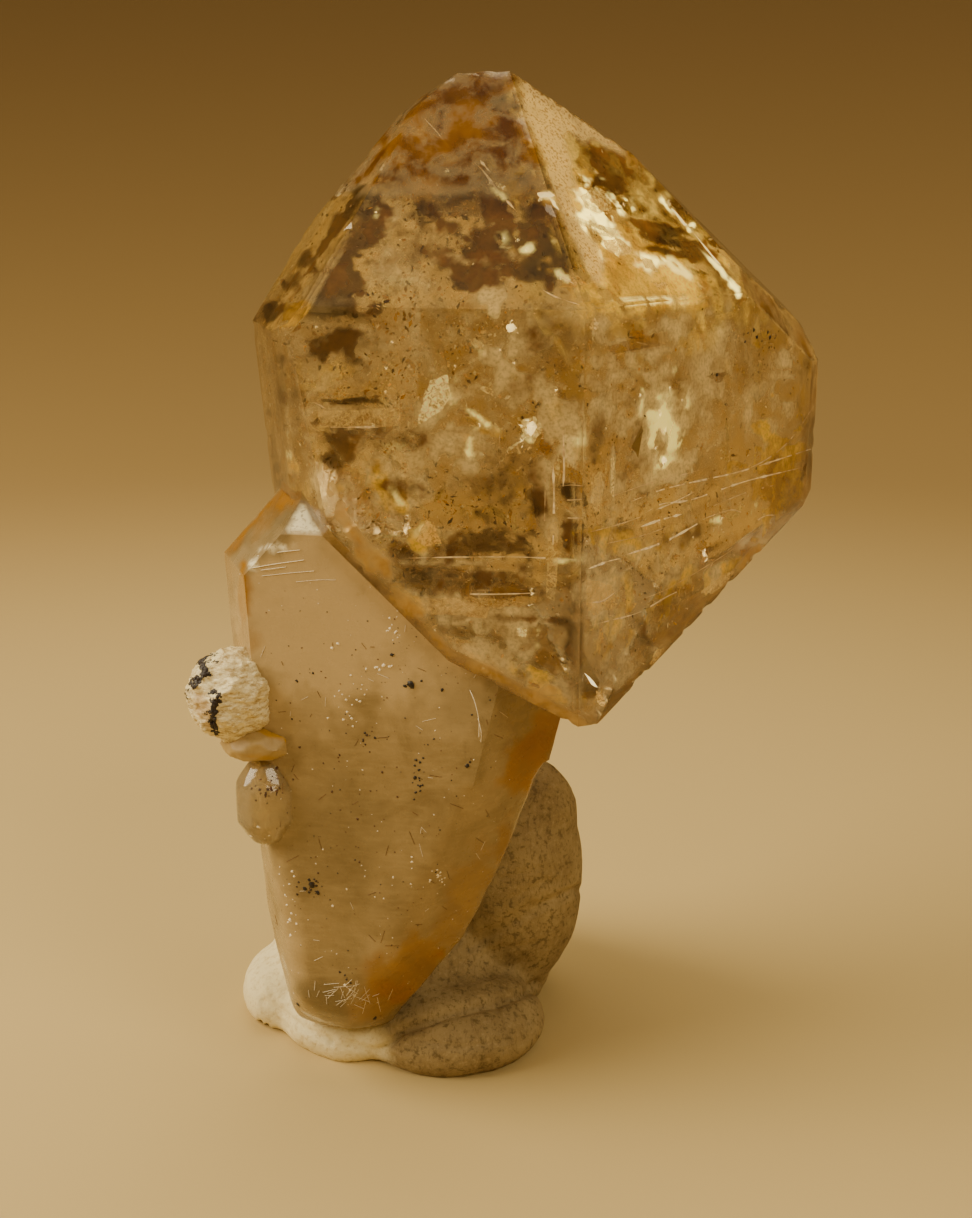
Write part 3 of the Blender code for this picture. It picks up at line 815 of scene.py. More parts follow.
def sheet_net(index, depth, margin, spacing, wave, seed):
    """Waved net of points inside the head, parallel to one of its faces."""
    normal = HEAD_NORMALS[index]
    across = np.cross(normal, (0.0, 0.0, 1.0))
    across /= np.linalg.norm(across)
    up = np.cross(across, normal)
    middle = np.array(HEAD_MIDDLE)
    middle = middle + normal * (HEAD_REACHES[index] - depth - middle @ normal)
    count = int(SHEET_REACH / spacing)
    row, column = np.meshgrid(np.arange(-count, count), np.arange(-count, count), indexing="ij")
    x = (column + 0.5 * (row % 2)) * spacing
    y = row * spacing * math.sqrt(0.75)
    points = middle + x.reshape(-1, 1) * across + y.reshape(-1, 1) * up
    gaps = (HEAD_REACHES - points @ HEAD_NORMALS.T)
    gaps[:, index] = FAR_OFF
    gaps = gaps.min(axis=1) - margin
    points += (wave * cloud(points, 5.0, seed, 3))[:, None] * normal
    numbers = np.arange(len(points)).reshape(row.shape)
    low_left, low_right = numbers[:-1, :-1], numbers[:-1, 1:]
    high_left, high_right = numbers[1:, :-1], numbers[1:, 1:]
    even = (row[:-1, :-1] % 2) == 0
    first = np.stack((low_left, low_right, np.where(even, high_left, high_right)), axis=-1)
    second = np.stack((np.where(even, low_right, low_left), high_right, high_left), axis=-1)
    triangles = np.concatenate((first.reshape(-1, 3), second.reshape(-1, 3)))
    inside = gaps > 0.0
    triangles = triangles[inside[triangles].all(axis=1)]
    used, inverse = np.unique(triangles, return_inverse=True)
    flat = np.column_stack((x.ravel(), y.ravel()))
    return points[used], inverse.reshape(-1, 3), gaps[used], flat[used]


def build_veils():
    pieces = []
    plain = veil_material("veils", VEIL_GLOW, colour(255, 239, 186))
    golden = veil_material("golden_veils_painted_glow", GOLDEN_GLOW, colour(255, 226, 120))
    for number, (index, depth, margin, spacing, even, marks) in enumerate(VEIL_SHEETS):
        wave = VEIL_WAVE * min(1.0, depth)
        points, triangles, gaps, flat = sheet_net(index, depth, margin, spacing, wave, 100 + number)
        paint = veil_paint(points, flat, seen_through(points, index), number, even, marks)
        paint["cover"] = paint["cover"] * ramp(gaps, 0.0, VEIL_FADE)
        triangles = triangles[(paint["cover"] > CLEAR_ENOUGH)[triangles].any(axis=1)]
        # The upper right face's veils glow more strongly: painted light that stands for light led through the
        # crystal from the left.
        mat = golden if index == UPPER_RIGHT else plain
        pieces.append(new_object("veil_%02d" % number, points, triangles, mat, paint=paint))
    return pieces


def flake_material():
    """Tiny bright, golden and dark grains floating in the crystal."""
    shader = Shader("flakes")
    tone = shader.painted("tone")
    base = shader.mix(shader.between(tone, 0.3, 0.5), colour(60, 36, 18), colour(222, 170, 92))
    base = shader.mix(shader.between(tone, 0.5, 0.8), base, colour(248, 236, 208))
    shader.link(base, "Base Color")
    shader.link(shader.between(tone, 0.0, 1.0, 0.6, 0.15), "Roughness")
    return shader.mat


def random_inside(count, margin, seed):
    """Even random points inside the head, at least margin from its faces."""
    rng = np.random.default_rng(seed)
    picked = rng.uniform(HEAD_LOW, HEAD_HIGH, (count * 4, 3))
    gaps = (HEAD_REACHES - picked @ HEAD_NORMALS.T).min(axis=1)
    return picked[gaps > margin][:count], rng


def room_inside(middle):
    """Distance from a point in the head to the nearest face."""
    return float((HEAD_REACHES - np.array(middle) @ HEAD_NORMALS.T).min())


def build_flakes():
    """Clouds of tiny flat grains, thicker in some places than in others."""
    middles, rng = random_inside(GRAINS_TRIED, 0.3, GRAIN_SEED)
    dense = cloud(middles, 3.0, 401, 3)
    middles = middles[dense > rng.uniform(-0.5, 0.6, len(middles))]
    count = len(middles)
    first = rng.normal(size=(count, 3))
    first /= np.linalg.norm(first, axis=1)[:, None]
    second = np.cross(first, rng.normal(size=(count, 3)))
    second /= np.linalg.norm(second, axis=1)[:, None]
    size = 0.02 + 0.07 * rng.random(count) ** 3
    long = size * rng.uniform(1.0, 2.6, count)
    corners = [middles + first * long[:, None], middles + second * size[:, None],
               middles - first * long[:, None] * 0.8, middles - second * size[:, None] * 0.9]
    points = np.stack(corners, axis=1).reshape(-1, 3)
    faces = np.arange(4 * count).reshape(-1, 4)
    tone = 0.5 + 0.5 * cloud(middles, 2.5, 402, 2) + rng.normal(0.0, 0.25, count)
    tone = np.repeat(np.clip(tone, 0.0, 1.0), 4)
    return new_object("grains_inside", points, faces, flake_material(), smooth=False,
                      paint={"tone": tone})


def crack_material(glow):
    """Ragged crack surfaces; the brightest also carry a painted glow."""
    shader = Shader("bright_cracks" if glow else "cracks")
    tone = shader.painted("tone")
    fine = shader.noise(0.16, 6.0, 0.7, 1.0)
    shards = shader.shards(0.3, 0.25)
    base = shader.mix(shader.between(tone, 0.2, 0.5), colour(74, 47, 16), colour(224, 164, 34))
    base = shader.mix(shader.between(tone, 0.55, 0.95), base, colour(255, 244, 178))
    worn = shader.mix(1.0, base, colour(170, 134, 70), "MULTIPLY")
    tint = shader.mix(shader.between(fine, 0.36, 0.6), worn, base)
    shader.link(tint, "Base Color")
    if glow:
        shader.link(tint, "Emission Color")
        shader.set(Emission_Strength=glow)
    cells = shader.math("ADD", shards, shader.painted("fade"))
    cover = shader.math("MULTIPLY", shader.between(cells, 0.95, 1.0),
                        shader.between(fine, 0.34, 0.5, 0.25, 1.0))
    shader.link(shader.math("MULTIPLY", cover, shader.painted("cover"), True), "Alpha")
    shader.set(Roughness=0.2)
    shader.link(shader.bump(fine, 0.8, 0.1), "Normal")
    return shader.mat


# Cracks seen in the head: face, pixel, depth, half length and width in mm, turn in
# degrees, tone from dark 0 over gold to white 1, cover.
SEEN_CRACKS = (
    (FRONT, (487, 390), 0.9, 0.7, 0.2, 30, 0.8, 0.9),
    (FRONT, (489, 424), 0.9, 0.6, 0.25, 35, 0.8, 0.9),
    (FRONT, (470, 441), 1.0, 0.8, 0.3, 40, 0.6, 0.9),
    (FRONT, (530, 430), 0.9, 0.6, 0.5, -40, 1.0, 1.0),
    (FRONT, (511, 327), 0.8, 0.36, 0.26, 0, 1.0, 1.0),
    (FRONT, (438, 398), 0.5, 0.62, 0.5, 60, 0.85, 0.9),
    (FRONT, (556, 398), 1.2, 0.5, 0.2, 90, 0.7, 0.7),
    (FRONT, (515, 445), 1.0, 0.9, 0.16, -35, 0.9, 0.8),
    (FRONT, (558, 470), 1.2, 0.9, 0.16, 90, 0.8, 0.6),
    (FRONT, (592, 325), 0.5, 0.5, 0.35, 80, 0.75, 0.6),
    (FRONT, (478, 345), 1.0, 0.5, 0.25, 40, 0.8, 0.6),
    (FRONT, (462, 300), 1.2, 0.6, 0.3, 0, 0.7, 0.5),
    (FRONT, (440, 630), 0.8, 0.5, 0.25, 30, 0.65, 0.8),
    (FRONT, (470, 655), 0.7, 0.8, 0.3, 35, 0.6, 0.8),
    (FRONT, (600, 700), 0.5, 0.5, 0.3, 60, 0.7, 0.8),
    (FRONT, (344, 512), 0.5, 0.7, 0.2, -55, 0.6, 0.8),
    (FRONT, (428, 530), 0.8, 0.55, 0.4, 0, 0.7, 0.9),
    (FRONT, (495, 548), 1.4, 1.6, 0.35, 2, 0.05, 0.9),
    (FRONT, (425, 575), 1.4, 1.0, 0.5, 0, 0.1, 0.8),
    (FRONT, (572, 500), 1.0, 0.4, 0.5, 0, 0.05, 0.9),
    (FRONT, (345, 404), 0.5, 0.95, 0.06, 0, 0.05, 1.0),
    (FRONT, (412, 489), 1.0, 0.7, 0.3, 0, 0.1, 0.8),
    (FRONT, (484, 668), 0.8, 0.4, 0.2, 20, 0.9, 0.9),
    (FRONT, (540, 690), 0.6, 0.9, 0.35, 28, 0.5, 0.9),
    (UPPER_FRONT, (545, 203), 0.6, 0.6, 0.2, 35, 0.7, 1.0),
    (UPPER_FRONT, (565, 215), 0.8, 0.6, 0.4, 40, 0.1, 0.8),
    (UPPER_FRONT, (500, 186), 0.6, 0.5, 0.16, 35, 1.0, 1.0),
    (UPPER_FRONT, (570, 280), 0.7, 0.5, 0.2, 20, 0.7, 0.9),
    (UPPER_FRONT, (508, 246), 0.9, 0.6, 0.4, 0, 0.95, 0.7),
    (UPPER_RIGHT, (598, 226), 0.3, 0.9, 0.26, 25, 1.0, 1.0),
    (UPPER_RIGHT, (600, 203), 0.5, 0.9, 0.7, 30, 0.75, 1.0),
    (UPPER_RIGHT, (582, 190), 0.5, 0.6, 0.35, 50, 0.7, 0.9),
    (UPPER_RIGHT, (614, 240), 0.5, 0.6, 0.4, 20, 0.75, 0.9),
    (UPPER_RIGHT, (612, 262), 0.6, 0.5, 0.5, 10, 0.6, 0.9),
    (UPPER_RIGHT, (636, 250), 0.5, 0.8, 0.35, 35, 0.8, 0.9),
    (UPPER_RIGHT, (628, 276), 0.5, 0.9, 0.4, 10, 0.65, 0.9),
    (UPPER_RIGHT, (660, 286), 0.4, 0.8, 0.3, 5, 0.75, 0.8),
    (UPPER_RIGHT, (668, 204), 0.2, 0.4, 0.14, 55, 1.0, 1.0),
    (UPPER_RIGHT, (690, 228), 0.2, 0.4, 0.12, 55, 0.95, 1.0),
    (UPPER_RIGHT, (655, 262), 0.5, 0.7, 0.25, 30, 0.9, 0.8),
    (UPPER_RIGHT, (615, 172), 0.8, 1.2, 0.5, 50, 0.05, 1.0),
    (UPPER_RIGHT, (660, 240), 0.8, 1.3, 0.5, 40, 0.05, 0.9),
    (UPPER_RIGHT, (640, 265), 0.9, 1.0, 0.5, 0, 0.6, 0.9),
    (UPPER_RIGHT, (700, 275), 0.8, 1.0, 0.4, 30, 0.3, 0.8),
    (RIGHT, (634, 338), 0.7, 1.0, 0.06, 8, 0.1, 1.0),
    (RIGHT, (632, 350), 0.7, 0.9, 0.07, -4, 0.05, 1.0),
    (RIGHT, (640, 343), 0.6, 0.8, 0.05, 14, 0.9, 0.9),
    (RIGHT, (718, 375), 0.6, 0.5, 0.2, 0, 0.1, 0.9),
    (RIGHT, (664, 420), 0.8, 1.3, 0.34, 90, 1.0, 1.0),
    (RIGHT, (650, 430), 0.6, 1.1, 0.12, 92, 1.0, 0.9),
    (RIGHT, (672, 440), 0.6, 1.0, 0.1, 86, 1.0, 0.9),
    (RIGHT, (641, 400), 0.6, 0.8, 0.09, 90, 0.95, 0.9),
    (RIGHT, (656, 455), 0.8, 0.6, 0.3, 80, 0.9, 0.8),
    (RIGHT, (644, 402), 0.8, 0.5, 0.2, 90, 0.85, 0.7),
    (RIGHT, (684, 402), 0.8, 0.5, 0.25, 80, 0.8, 0.6),
    (RIGHT, (606, 470), 0.8, 0.8, 0.2, 90, 0.75, 0.5),
    (RIGHT, (700, 345), 1.2, 1.0, 0.6, 0, 0.7, 0.35),
    (RIGHT, (600, 640), 0.6, 0.4, 0.7, 0, 0.65, 0.6),
    (RIGHT, (630, 610), 0.6, 0.7, 0.3, -30, 0.65, 0.6),
    (RIGHT, (745, 552), 0.6, 0.8, 0.5, -30, 0.5, 0.8),
    (RIGHT, (790, 470), 0.8, 1.0, 1.0, 0, 0.4, 0.8),
    (RIGHT, (655, 655), 0.6, 0.6, 0.3, -45, 0.8, 0.8),
)

# Flat plates seen in the head: face, depth in mm, tone, cover, corner pixels.
SEEN_PLATES = (
    (FRONT, 0.25, 1.0, 0.95, ((430, 380), (447, 375), (452, 395), (440, 412), (417, 425), (422, 405))),
    (FRONT, 0.3, 0.2, 0.7, ((321, 399), (340, 400), (368, 396), (363, 400), (340, 403), (322, 402))),
    (FRONT, 0.2, 0.75, 0.4, ((318, 411), (400, 408), (398, 426), (320, 427))),
    (FRONT, 0.4, 0.7, 0.8, ((415, 541), (427, 519), (433, 524), (441, 543), (425, 547))),
    (FRONT, 1.0, 0.3, 0.25, ((455, 535), (480, 532), (535, 533), (531, 556), (490, 553), (458, 557))),
    (FRONT, 1.0, 0.3, 0.25, ((400, 560), (440, 558), (470, 563), (468, 590), (430, 586), (404, 588))),
    (FRONT, 0.6, 0.05, 0.9, ((561, 485), (573, 486), (572, 497), (562, 496))),
    (FRONT, 0.6, 0.1, 0.85, ((564, 522), (578, 524), (576, 551), (563, 548))),
    (FRONT, 0.6, 0.1, 0.7, ((533, 490), (542, 492), (543, 516), (535, 518))),
    (FRONT, 0.5, 0.75, 0.45, ((543, 458), (556, 462), (558, 560), (555, 602), (546, 598), (548, 540))),
    (FRONT, 0.5, 0.8, 0.6, ((563, 437), (572, 433), (577, 450), (574, 468), (564, 466))),
    (FRONT, 0.5, 0.7, 0.4, ((414, 598), (470, 596), (527, 602), (520, 622), (470, 616), (427, 614))),
    (FRONT, 0.5, 0.7, 0.4, ((444, 634), (500, 650), (522, 668), (500, 676), (462, 660))),
    (FRONT, 0.3, 0.95, 0.9, ((517, 628), (526, 629), (525, 636), (518, 635))),
    (FRONT, 0.8, 0.9, 0.8, ((522, 420), (536, 416), (542, 428), (534, 444), (524, 440))),
    (FRONT, 0.8, 0.8, 0.7, ((474, 419), (490, 424), (507, 436), (500, 438), (480, 428))),
    (RIGHT, 0.4, 0.42, 0.45, ((607, 347), (634, 338), (658, 334), (661, 346), (632, 350), (612, 355))),
    (RIGHT, 0.4, 0.35, 0.5, ((706, 376), (728, 371), (722, 381), (717, 382))),
    (RIGHT, 0.5, 0.9, 0.5, ((655, 402), (668, 398), (674, 420), (668, 446), (656, 438))),
    (RIGHT, 0.4, 0.75, 0.5, ((590, 473), (603, 470), (602, 513), (593, 511))),
    (RIGHT, 0.4, 0.85, 0.8, ((611, 456), (615, 458), (614, 498), (611, 494))),
    (RIGHT, 0.4, 0.7, 0.45, ((586, 580), (612, 584), (618, 606), (594, 616), (587, 610))),
    (RIGHT, 0.3, 0.7, 0.7, ((650, 664), (656, 650), (664, 648), (658, 662))),
    (RIGHT, 0.3, 0.75, 0.6, ((700, 592), (722, 574), (735, 570), (728, 580), (712, 594))),
    (UPPER_RIGHT, 0.3, 1.0, 0.6, ((572, 214), (590, 222), (617, 229), (612, 238), (594, 233), (580, 224))),
    (UPPER_RIGHT, 0.4, 0.85, 0.6, ((580, 196), (596, 186), (608, 192), (612, 208), (600, 214), (586, 208))),
    (UPPER_RIGHT, 0.4, 0.75, 0.9, ((603, 240), (620, 238), (632, 250), (622, 256), (608, 252))),
    (UPPER_RIGHT, 0.4, 0.8, 0.9, ((641, 256), (652, 260), (658, 272), (646, 268))),
)

# Clusters of small wisps: face, middle and spread in pixels, number, tone, largest half
# length in mm.
WISP_CLUSTERS = (
    (FRONT, 500, 435, 30, 16, 16, 0.75, 0.4), (FRONT, 470, 445, 14, 14, 8, 0.9, 0.3),
    (FRONT, 385, 492, 12, 10, 10, 0.62, 0.4), (FRONT, 478, 345, 12, 12, 8, 0.7, 0.3),
    (FRONT, 460, 655, 24, 10, 8, 0.62, 0.4), (FRONT, 425, 533, 10, 8, 5, 0.62, 0.3),
    (UPPER_FRONT, 548, 222, 16, 16, 12, 0.6, 0.35), (UPPER_FRONT, 500, 240, 14, 10, 9, 0.85, 0.25),
    (UPPER_FRONT, 555, 270, 14, 10, 7, 0.62, 0.3), (UPPER_FRONT, 470, 225, 26, 16, 12, 0.1, 0.4),
    (UPPER_FRONT, 550, 225, 16, 20, 10, 0.1, 0.4), (UPPER_FRONT, 335, 300, 14, 26, 14, 0.1, 0.45),
    (UPPER_RIGHT, 628, 275, 22, 12, 12, 0.6, 0.4), (UPPER_RIGHT, 660, 275, 20, 10, 8, 0.7, 0.35),
    (UPPER_RIGHT, 662, 240, 20, 8, 10, 0.1, 0.45), (UPPER_RIGHT, 604, 165, 16, 12, 8, 0.15, 0.4),
    (RIGHT, 666, 410, 8, 20, 9, 0.9, 0.3), (RIGHT, 635, 400, 6, 12, 5, 0.9, 0.2),
    (RIGHT, 640, 560, 40, 30, 10, 0.6, 0.3), (RIGHT, 750, 500, 30, 24, 8, 0.5, 0.4),
    (FRONT, 500, 545, 26, 8, 8, 0.1, 0.5), (FRONT, 440, 576, 26, 8, 8, 0.1, 0.5),
    (FRONT, 570, 460, 6, 30, 6, 0.8, 0.25), (RIGHT, 600, 600, 10, 12, 6, 0.7, 0.3),
)


def add_plate(batch, index, depth, pixels, seed, **paint):
    """Flat plate with a slightly ragged rim, drawn from its corners in the picture."""
    corners = np.array([on_face(HEAD_FACES, index, pixel, depth) for pixel in pixels])
    ring = np.vstack((corners, corners[:1]))
    rim = []
    for start, end in zip(ring[:-1], ring[1:]):
        steps = max(1, int(np.linalg.norm(end - start) / 0.04))
        rim += [start + (end - start) * step / steps for step in range(steps)]
    rim = np.array(rim)
    middle = rim.mean(axis=0)
    outward = (rim - middle) / np.linalg.norm(rim - middle, axis=1)[:, None]
    rim = rim + outward * (0.12 * cloud(rim, 0.3, seed, 4))[:, None]
    batch.add(rim, [tuple(range(len(rim)))], fade=1.0, **paint)


def build_cracks():
    """Plates, cracks and wisps; the brighter ones seen in the picture carry a painted glow."""
    dull, painted_bright = Batch("tone", "fade", "cover"), Batch("tone", "fade", "cover")
    for number, (index, depth, tone, cover, pixels) in enumerate(SEEN_PLATES):
        batch = painted_bright if tone > BRIGHT_TONE else dull
        add_plate(batch, index, depth, pixels, 470 + number, tone=tone, cover=cover)
    for number, (index, pixel, depth, half_long, half_wide, turn, tone, cover) in enumerate(SEEN_CRACKS):
        batch = painted_bright if tone > BRIGHT_TONE else dull
        middle = on_face(HEAD_FACES, index, pixel, depth)
        normal = HEAD_NORMALS[index]
        add_wisp(batch, middle, normal, half_long, half_wide, normal_turn(normal, turn), 0.15,
                 500 + number, tone=tone, cover=cover)
    add_clusters(dull, painted_bright)
    add_far_wisps(dull)
    cracks = dull.make("cracks_inside", crack_material(0.0))
    return cracks, painted_bright.make("bright_cracks", crack_material(CRACK_GLOW))


def add_clusters(dull, painted_bright):
    rng = np.random.default_rng(CLUSTER_SEED)
    for index, right, down, spread_right, spread_down, count, tone, largest in WISP_CLUSTERS:
        batch = painted_bright if tone > BRIGHT_TONE else dull
        for step in range(count):
            pixel = (right + rng.normal(0.0, spread_right), down + rng.normal(0.0, spread_down))
            size = rng.uniform(0.3, 1.0) * largest
            middle = on_face(HEAD_FACES, index, pixel, rng.uniform(0.5, 1.2))
            half = min(size, room_inside(middle) - FACE_ROOM)
            wide = half * rng.uniform(0.15, 0.5)
            turn = rng.uniform(0.0, math.pi)
            cover = rng.uniform(0.5, 1.0)
            if half > SMALLEST_WISP:
                add_wisp(batch, middle, HEAD_NORMALS[index], half, wide, turn, 0.1,
                         2000 + int(right) + step, tone=tone, cover=cover)


def add_far_wisps(dull):
    """Wisps all through the head, each nearly level with one of its faces."""
    middles, rng = random_inside(WISPS_TRIED, 0.9, WISP_SEED)
    for number, middle in enumerate(middles[:WISPS_KEPT]):
        index = WISP_FACES[number % len(WISP_FACES)]
        normal = Vector(HEAD_NORMALS[index]) + Vector(rng.normal(0.0, 0.5, 3))
        half = min(rng.uniform(0.25, 1.1), room_inside(middle) - FACE_ROOM)
        add_wisp(dull, middle, normal, half, half * rng.uniform(0.3, 0.9), rng.uniform(0.0, 6.28),
                 0.25 * half, 600 + number, tone=rng.choice((0.05, 0.45, 0.65, 0.9)),
                 cover=rng.uniform(0.3, 0.8))


def normal_turn(normal, degrees):
    """Turn that lays a wisp's long side level in the picture, then degrees lower."""
    normal = Vector(normal)
    across = normal.orthogonal().normalized()
    level = Vector((0.0, 0.0, 1.0)).cross(normal).normalized()
    angle = math.atan2(normal.dot(across.cross(level)), across.dot(level))
    return angle - math.radians(degrees)


# Growth lines on the right face, their brightness a painted glow: corner pixels and half width in mm.
RIGHT_LINES = (
    (((630, 502), (655, 492), (680, 485), (712, 478), (745, 470), (811, 449)), 0.035),
    (((645, 513), (662, 504), (690, 500), (722, 489), (750, 480), (800, 468)), 0.035),
    (((640, 527), (660, 520), (682, 514)), 0.05),
    (((655, 510), (672, 503), (694, 492)), 0.035),
    (((588, 569), (606, 562), (622, 558)), 0.045),
    (((622, 556), (650, 547), (668, 540), (690, 528), (705, 519)), 0.04),
    (((755, 522), (765, 516), (776, 515)), 0.025),
    (((590, 603), (604, 600), (618, 590)), 0.025),
    (((588, 626), (612, 620), (640, 612), (668, 596), (690, 586)), 0.025),
    (((600, 500), (624, 492), (650, 483), (700, 470)), 0.02),
    (((590, 532), (620, 524), (648, 514)), 0.02),
    (((700, 512), (722, 502), (748, 492), (775, 485)), 0.02),
    (((700, 520), (730, 510), (744, 512), (758, 500)), 0.02),
    (((815, 405), (790, 440), (762, 462), (730, 474), (700, 480)), 0.02),
    (((640, 600), (665, 590), (700, 570), (735, 548)), 0.015),
    (((600, 545), (640, 536), (670, 526)), 0.015),
)
FRONT_LINES = (
    (((405, 558), (460, 557), (520, 557), (581, 560)), 0.03),
    (((465, 594), (500, 594), (535, 593)), 0.03),
    (((319, 427), (350, 427), (380, 427)), 0.03),
    (((312, 402), (318, 404), (326, 409)), 0.02),
    (((560, 500), (572, 500), (583, 499)), 0.025),
    (((558, 517), (570, 518), (583, 518)), 0.03),
    (((560, 486), (571, 485), (583, 486)), 0.02),
    (((553, 462), (554, 500), (553, 545)), 0.04),
    (((545, 465), (545, 500), (544, 540)), 0.02),
    (((563, 430), (564, 470), (562, 500)), 0.03),
    (((500, 432), (499, 450), (500, 466)), 0.02),
    (((470, 590), (500, 590), (530, 589)), 0.015),
)
UPPER_FRONT_LINES = (
    (((424, 118), (436, 131), (450, 148)), 0.035),
    (((472, 160), (484, 172), (496, 188), (516, 211)), 0.035),
    (((543, 290), (556, 297), (580, 305)), 0.03),
    (((480, 160), (490, 172)), 0.06),
    (((556, 274), (566, 279), (574, 284)), 0.04),
)


def line_material():
    shader = Shader("bright_lines")
    fine = shader.noise(0.3, 4.0, 0.6)
    strong = shader.math("MULTIPLY", shader.painted("tone"), shader.between(fine, 0.3, 0.6, 0.3, 1.0), True)
    tint = shader.mix(strong, colour(150, 112, 60), colour(255, 240, 200))
    shader.link(tint, "Base Color")
    # The lines' brightness is a painted glow.
    shader.link(tint, "Emission Color")
    shader.set(Roughness=0.25, Emission_Strength=LINE_GLOW)
    shader.link(shader.bump(fine, 0.5, 0.03), "Normal")
    return shader.mat


def build_lines():
    batch = Batch("tone")
    seed = 700
    for index, lines in ((RIGHT, RIGHT_LINES), (FRONT, FRONT_LINES), (UPPER_FRONT, UPPER_FRONT_LINES)):
        for pixels, half_width in lines:
            corners = [on_face(HEAD_FACES, index, pixel, 0.02) for pixel in pixels]
            seed += 1
            tilted = Vector(HEAD_NORMALS[index]) + Vector((0.0, 0.0, 0.6))
            add_ribbon(batch, even_line(corners, 0.09), tilted, LINE_GROWTH * half_width, seed, 0.65,
                       tone=min(1.0, 22.0 * half_width))
    return batch.make("growth_lines", line_material())


# Bright points in the head, painted glints that glow: face, pixel, half size in mm.
SPARKLES = (
    (FRONT, (511, 327), 0.2), (FRONT, (530, 428), 0.24), (FRONT, (522, 440), 0.12),
    (FRONT, (316, 327), 0.06),
    (FRONT, (386, 368), 0.05), (FRONT, (409, 366), 0.05), (FRONT, (373, 425), 0.06),
    (FRONT, (484, 668), 0.1),
    (FRONT, (520, 632), 0.1), (FRONT, (435, 630), 0.05), (FRONT, (500, 350), 0.05),
    (FRONT, (514, 363), 0.06),
    (FRONT, (480, 425), 0.08), (FRONT, (556, 390), 0.06), (FRONT, (392, 342), 0.05),
    (FRONT, (455, 366), 0.05),
    (UPPER_FRONT, (490, 183), 0.1), (UPPER_FRONT, (503, 188), 0.09), (UPPER_FRONT, (447, 170), 0.08),
    (UPPER_FRONT, (380, 180), 0.1), (UPPER_FRONT, (376, 212), 0.07), (UPPER_FRONT, (517, 240), 0.1),
    (UPPER_FRONT, (527, 250), 0.09), (UPPER_FRONT, (503, 238), 0.06), (UPPER_FRONT, (540, 200), 0.08),
    (UPPER_FRONT, (560, 278), 0.06), (UPPER_FRONT, (400, 240), 0.04),
    (RIGHT, (664, 461), 0.14), (RIGHT, (665, 430), 0.12), (RIGHT, (640, 395), 0.08),
    (RIGHT, (670, 388), 0.08),
    (RIGHT, (682, 400), 0.06), (RIGHT, (606, 428), 0.04), (RIGHT, (693, 537), 0.04),
    (RIGHT, (722, 518), 0.07),
    (RIGHT, (660, 415), 0.1), (RIGHT, (656, 448), 0.08), (RIGHT, (766, 407), 0.03),
    (UPPER_RIGHT, (600, 225), 0.2), (UPPER_RIGHT, (624, 205), 0.1), (UPPER_RIGHT, (668, 203), 0.14),
    (UPPER_RIGHT, (690, 228), 0.1), (UPPER_RIGHT, (735, 288), 0.08), (UPPER_RIGHT, (590, 215), 0.12),
)

# Brightest plates, painted glare that glows: face, depth in mm, corner pixels.
GLARE_PLATES = (
    (UPPER_RIGHT, 0.15, ((671, 208), (675, 211), (688, 226), (684, 225))),
    (UPPER_RIGHT, 0.15, ((694, 233), (705, 246), (722, 266), (716, 262))),
    (UPPER_FRONT, 0.4, ((537, 193), (545, 192), (553, 194), (549, 197), (541, 198))),
    (UPPER_FRONT, 0.4, ((546, 196), (552, 200), (558, 210), (552, 206))),
    (FRONT, 0.7, ((527, 424), (533, 421), (537, 427), (531, 436), (526, 433))),
    (FRONT, 0.7, ((507, 324), (514, 323), (517, 328), (511, 332), (506, 329))),
    (RIGHT, 0.5, ((659, 410), (666, 408), (669, 424), (663, 434), (659, 426))),
    (RIGHT, 0.5, ((661, 458), (665, 457), (667, 461), (663, 464))),
    (FRONT, 0.3, ((585, 675), (589, 678), (598, 689), (593, 687))),
)


def build_sparkles():
    """Clusters of minute bright facets, painted glints that glow."""
    rng = np.random.default_rng(SPARKLE_SEED)
    batch = Batch("fade")
    for number, (index, depth, pixels) in enumerate(GLARE_PLATES):
        add_plate(batch, index, depth, pixels, 850 + number)
    for index, pixel, half in SPARKLES:
        middle = np.array(on_face(HEAD_FACES, index, pixel, 0.45))
        for _ in range(FACETS_IN_A_SPARKLE):
            place = middle + rng.normal(0.0, 0.5 * half, 3)
            room = HEAD_REACHES[index] - FACE_ROOM - place @ HEAD_NORMALS[index]
            place += HEAD_NORMALS[index] * min(0.0, room)
            size = half * rng.uniform(0.06, 0.34)
            triangle = place + rng.normal(0.0, size, (3, 3))
            batch.add(triangle, [(0, 1, 2)])
    shader = Shader("sparkle")
    shader.link(shader.mix(shader.noise(0.2), colour(214, 180, 104), colour(255, 244, 200)), "Base Color")
    shader.set(Roughness=0.2, Emission_Color=(1.0, 0.86, 0.46, 1.0), Emission_Strength=SPARKLE_GLOW)
    return batch.make("sparkles", shader.mat, smooth=False)


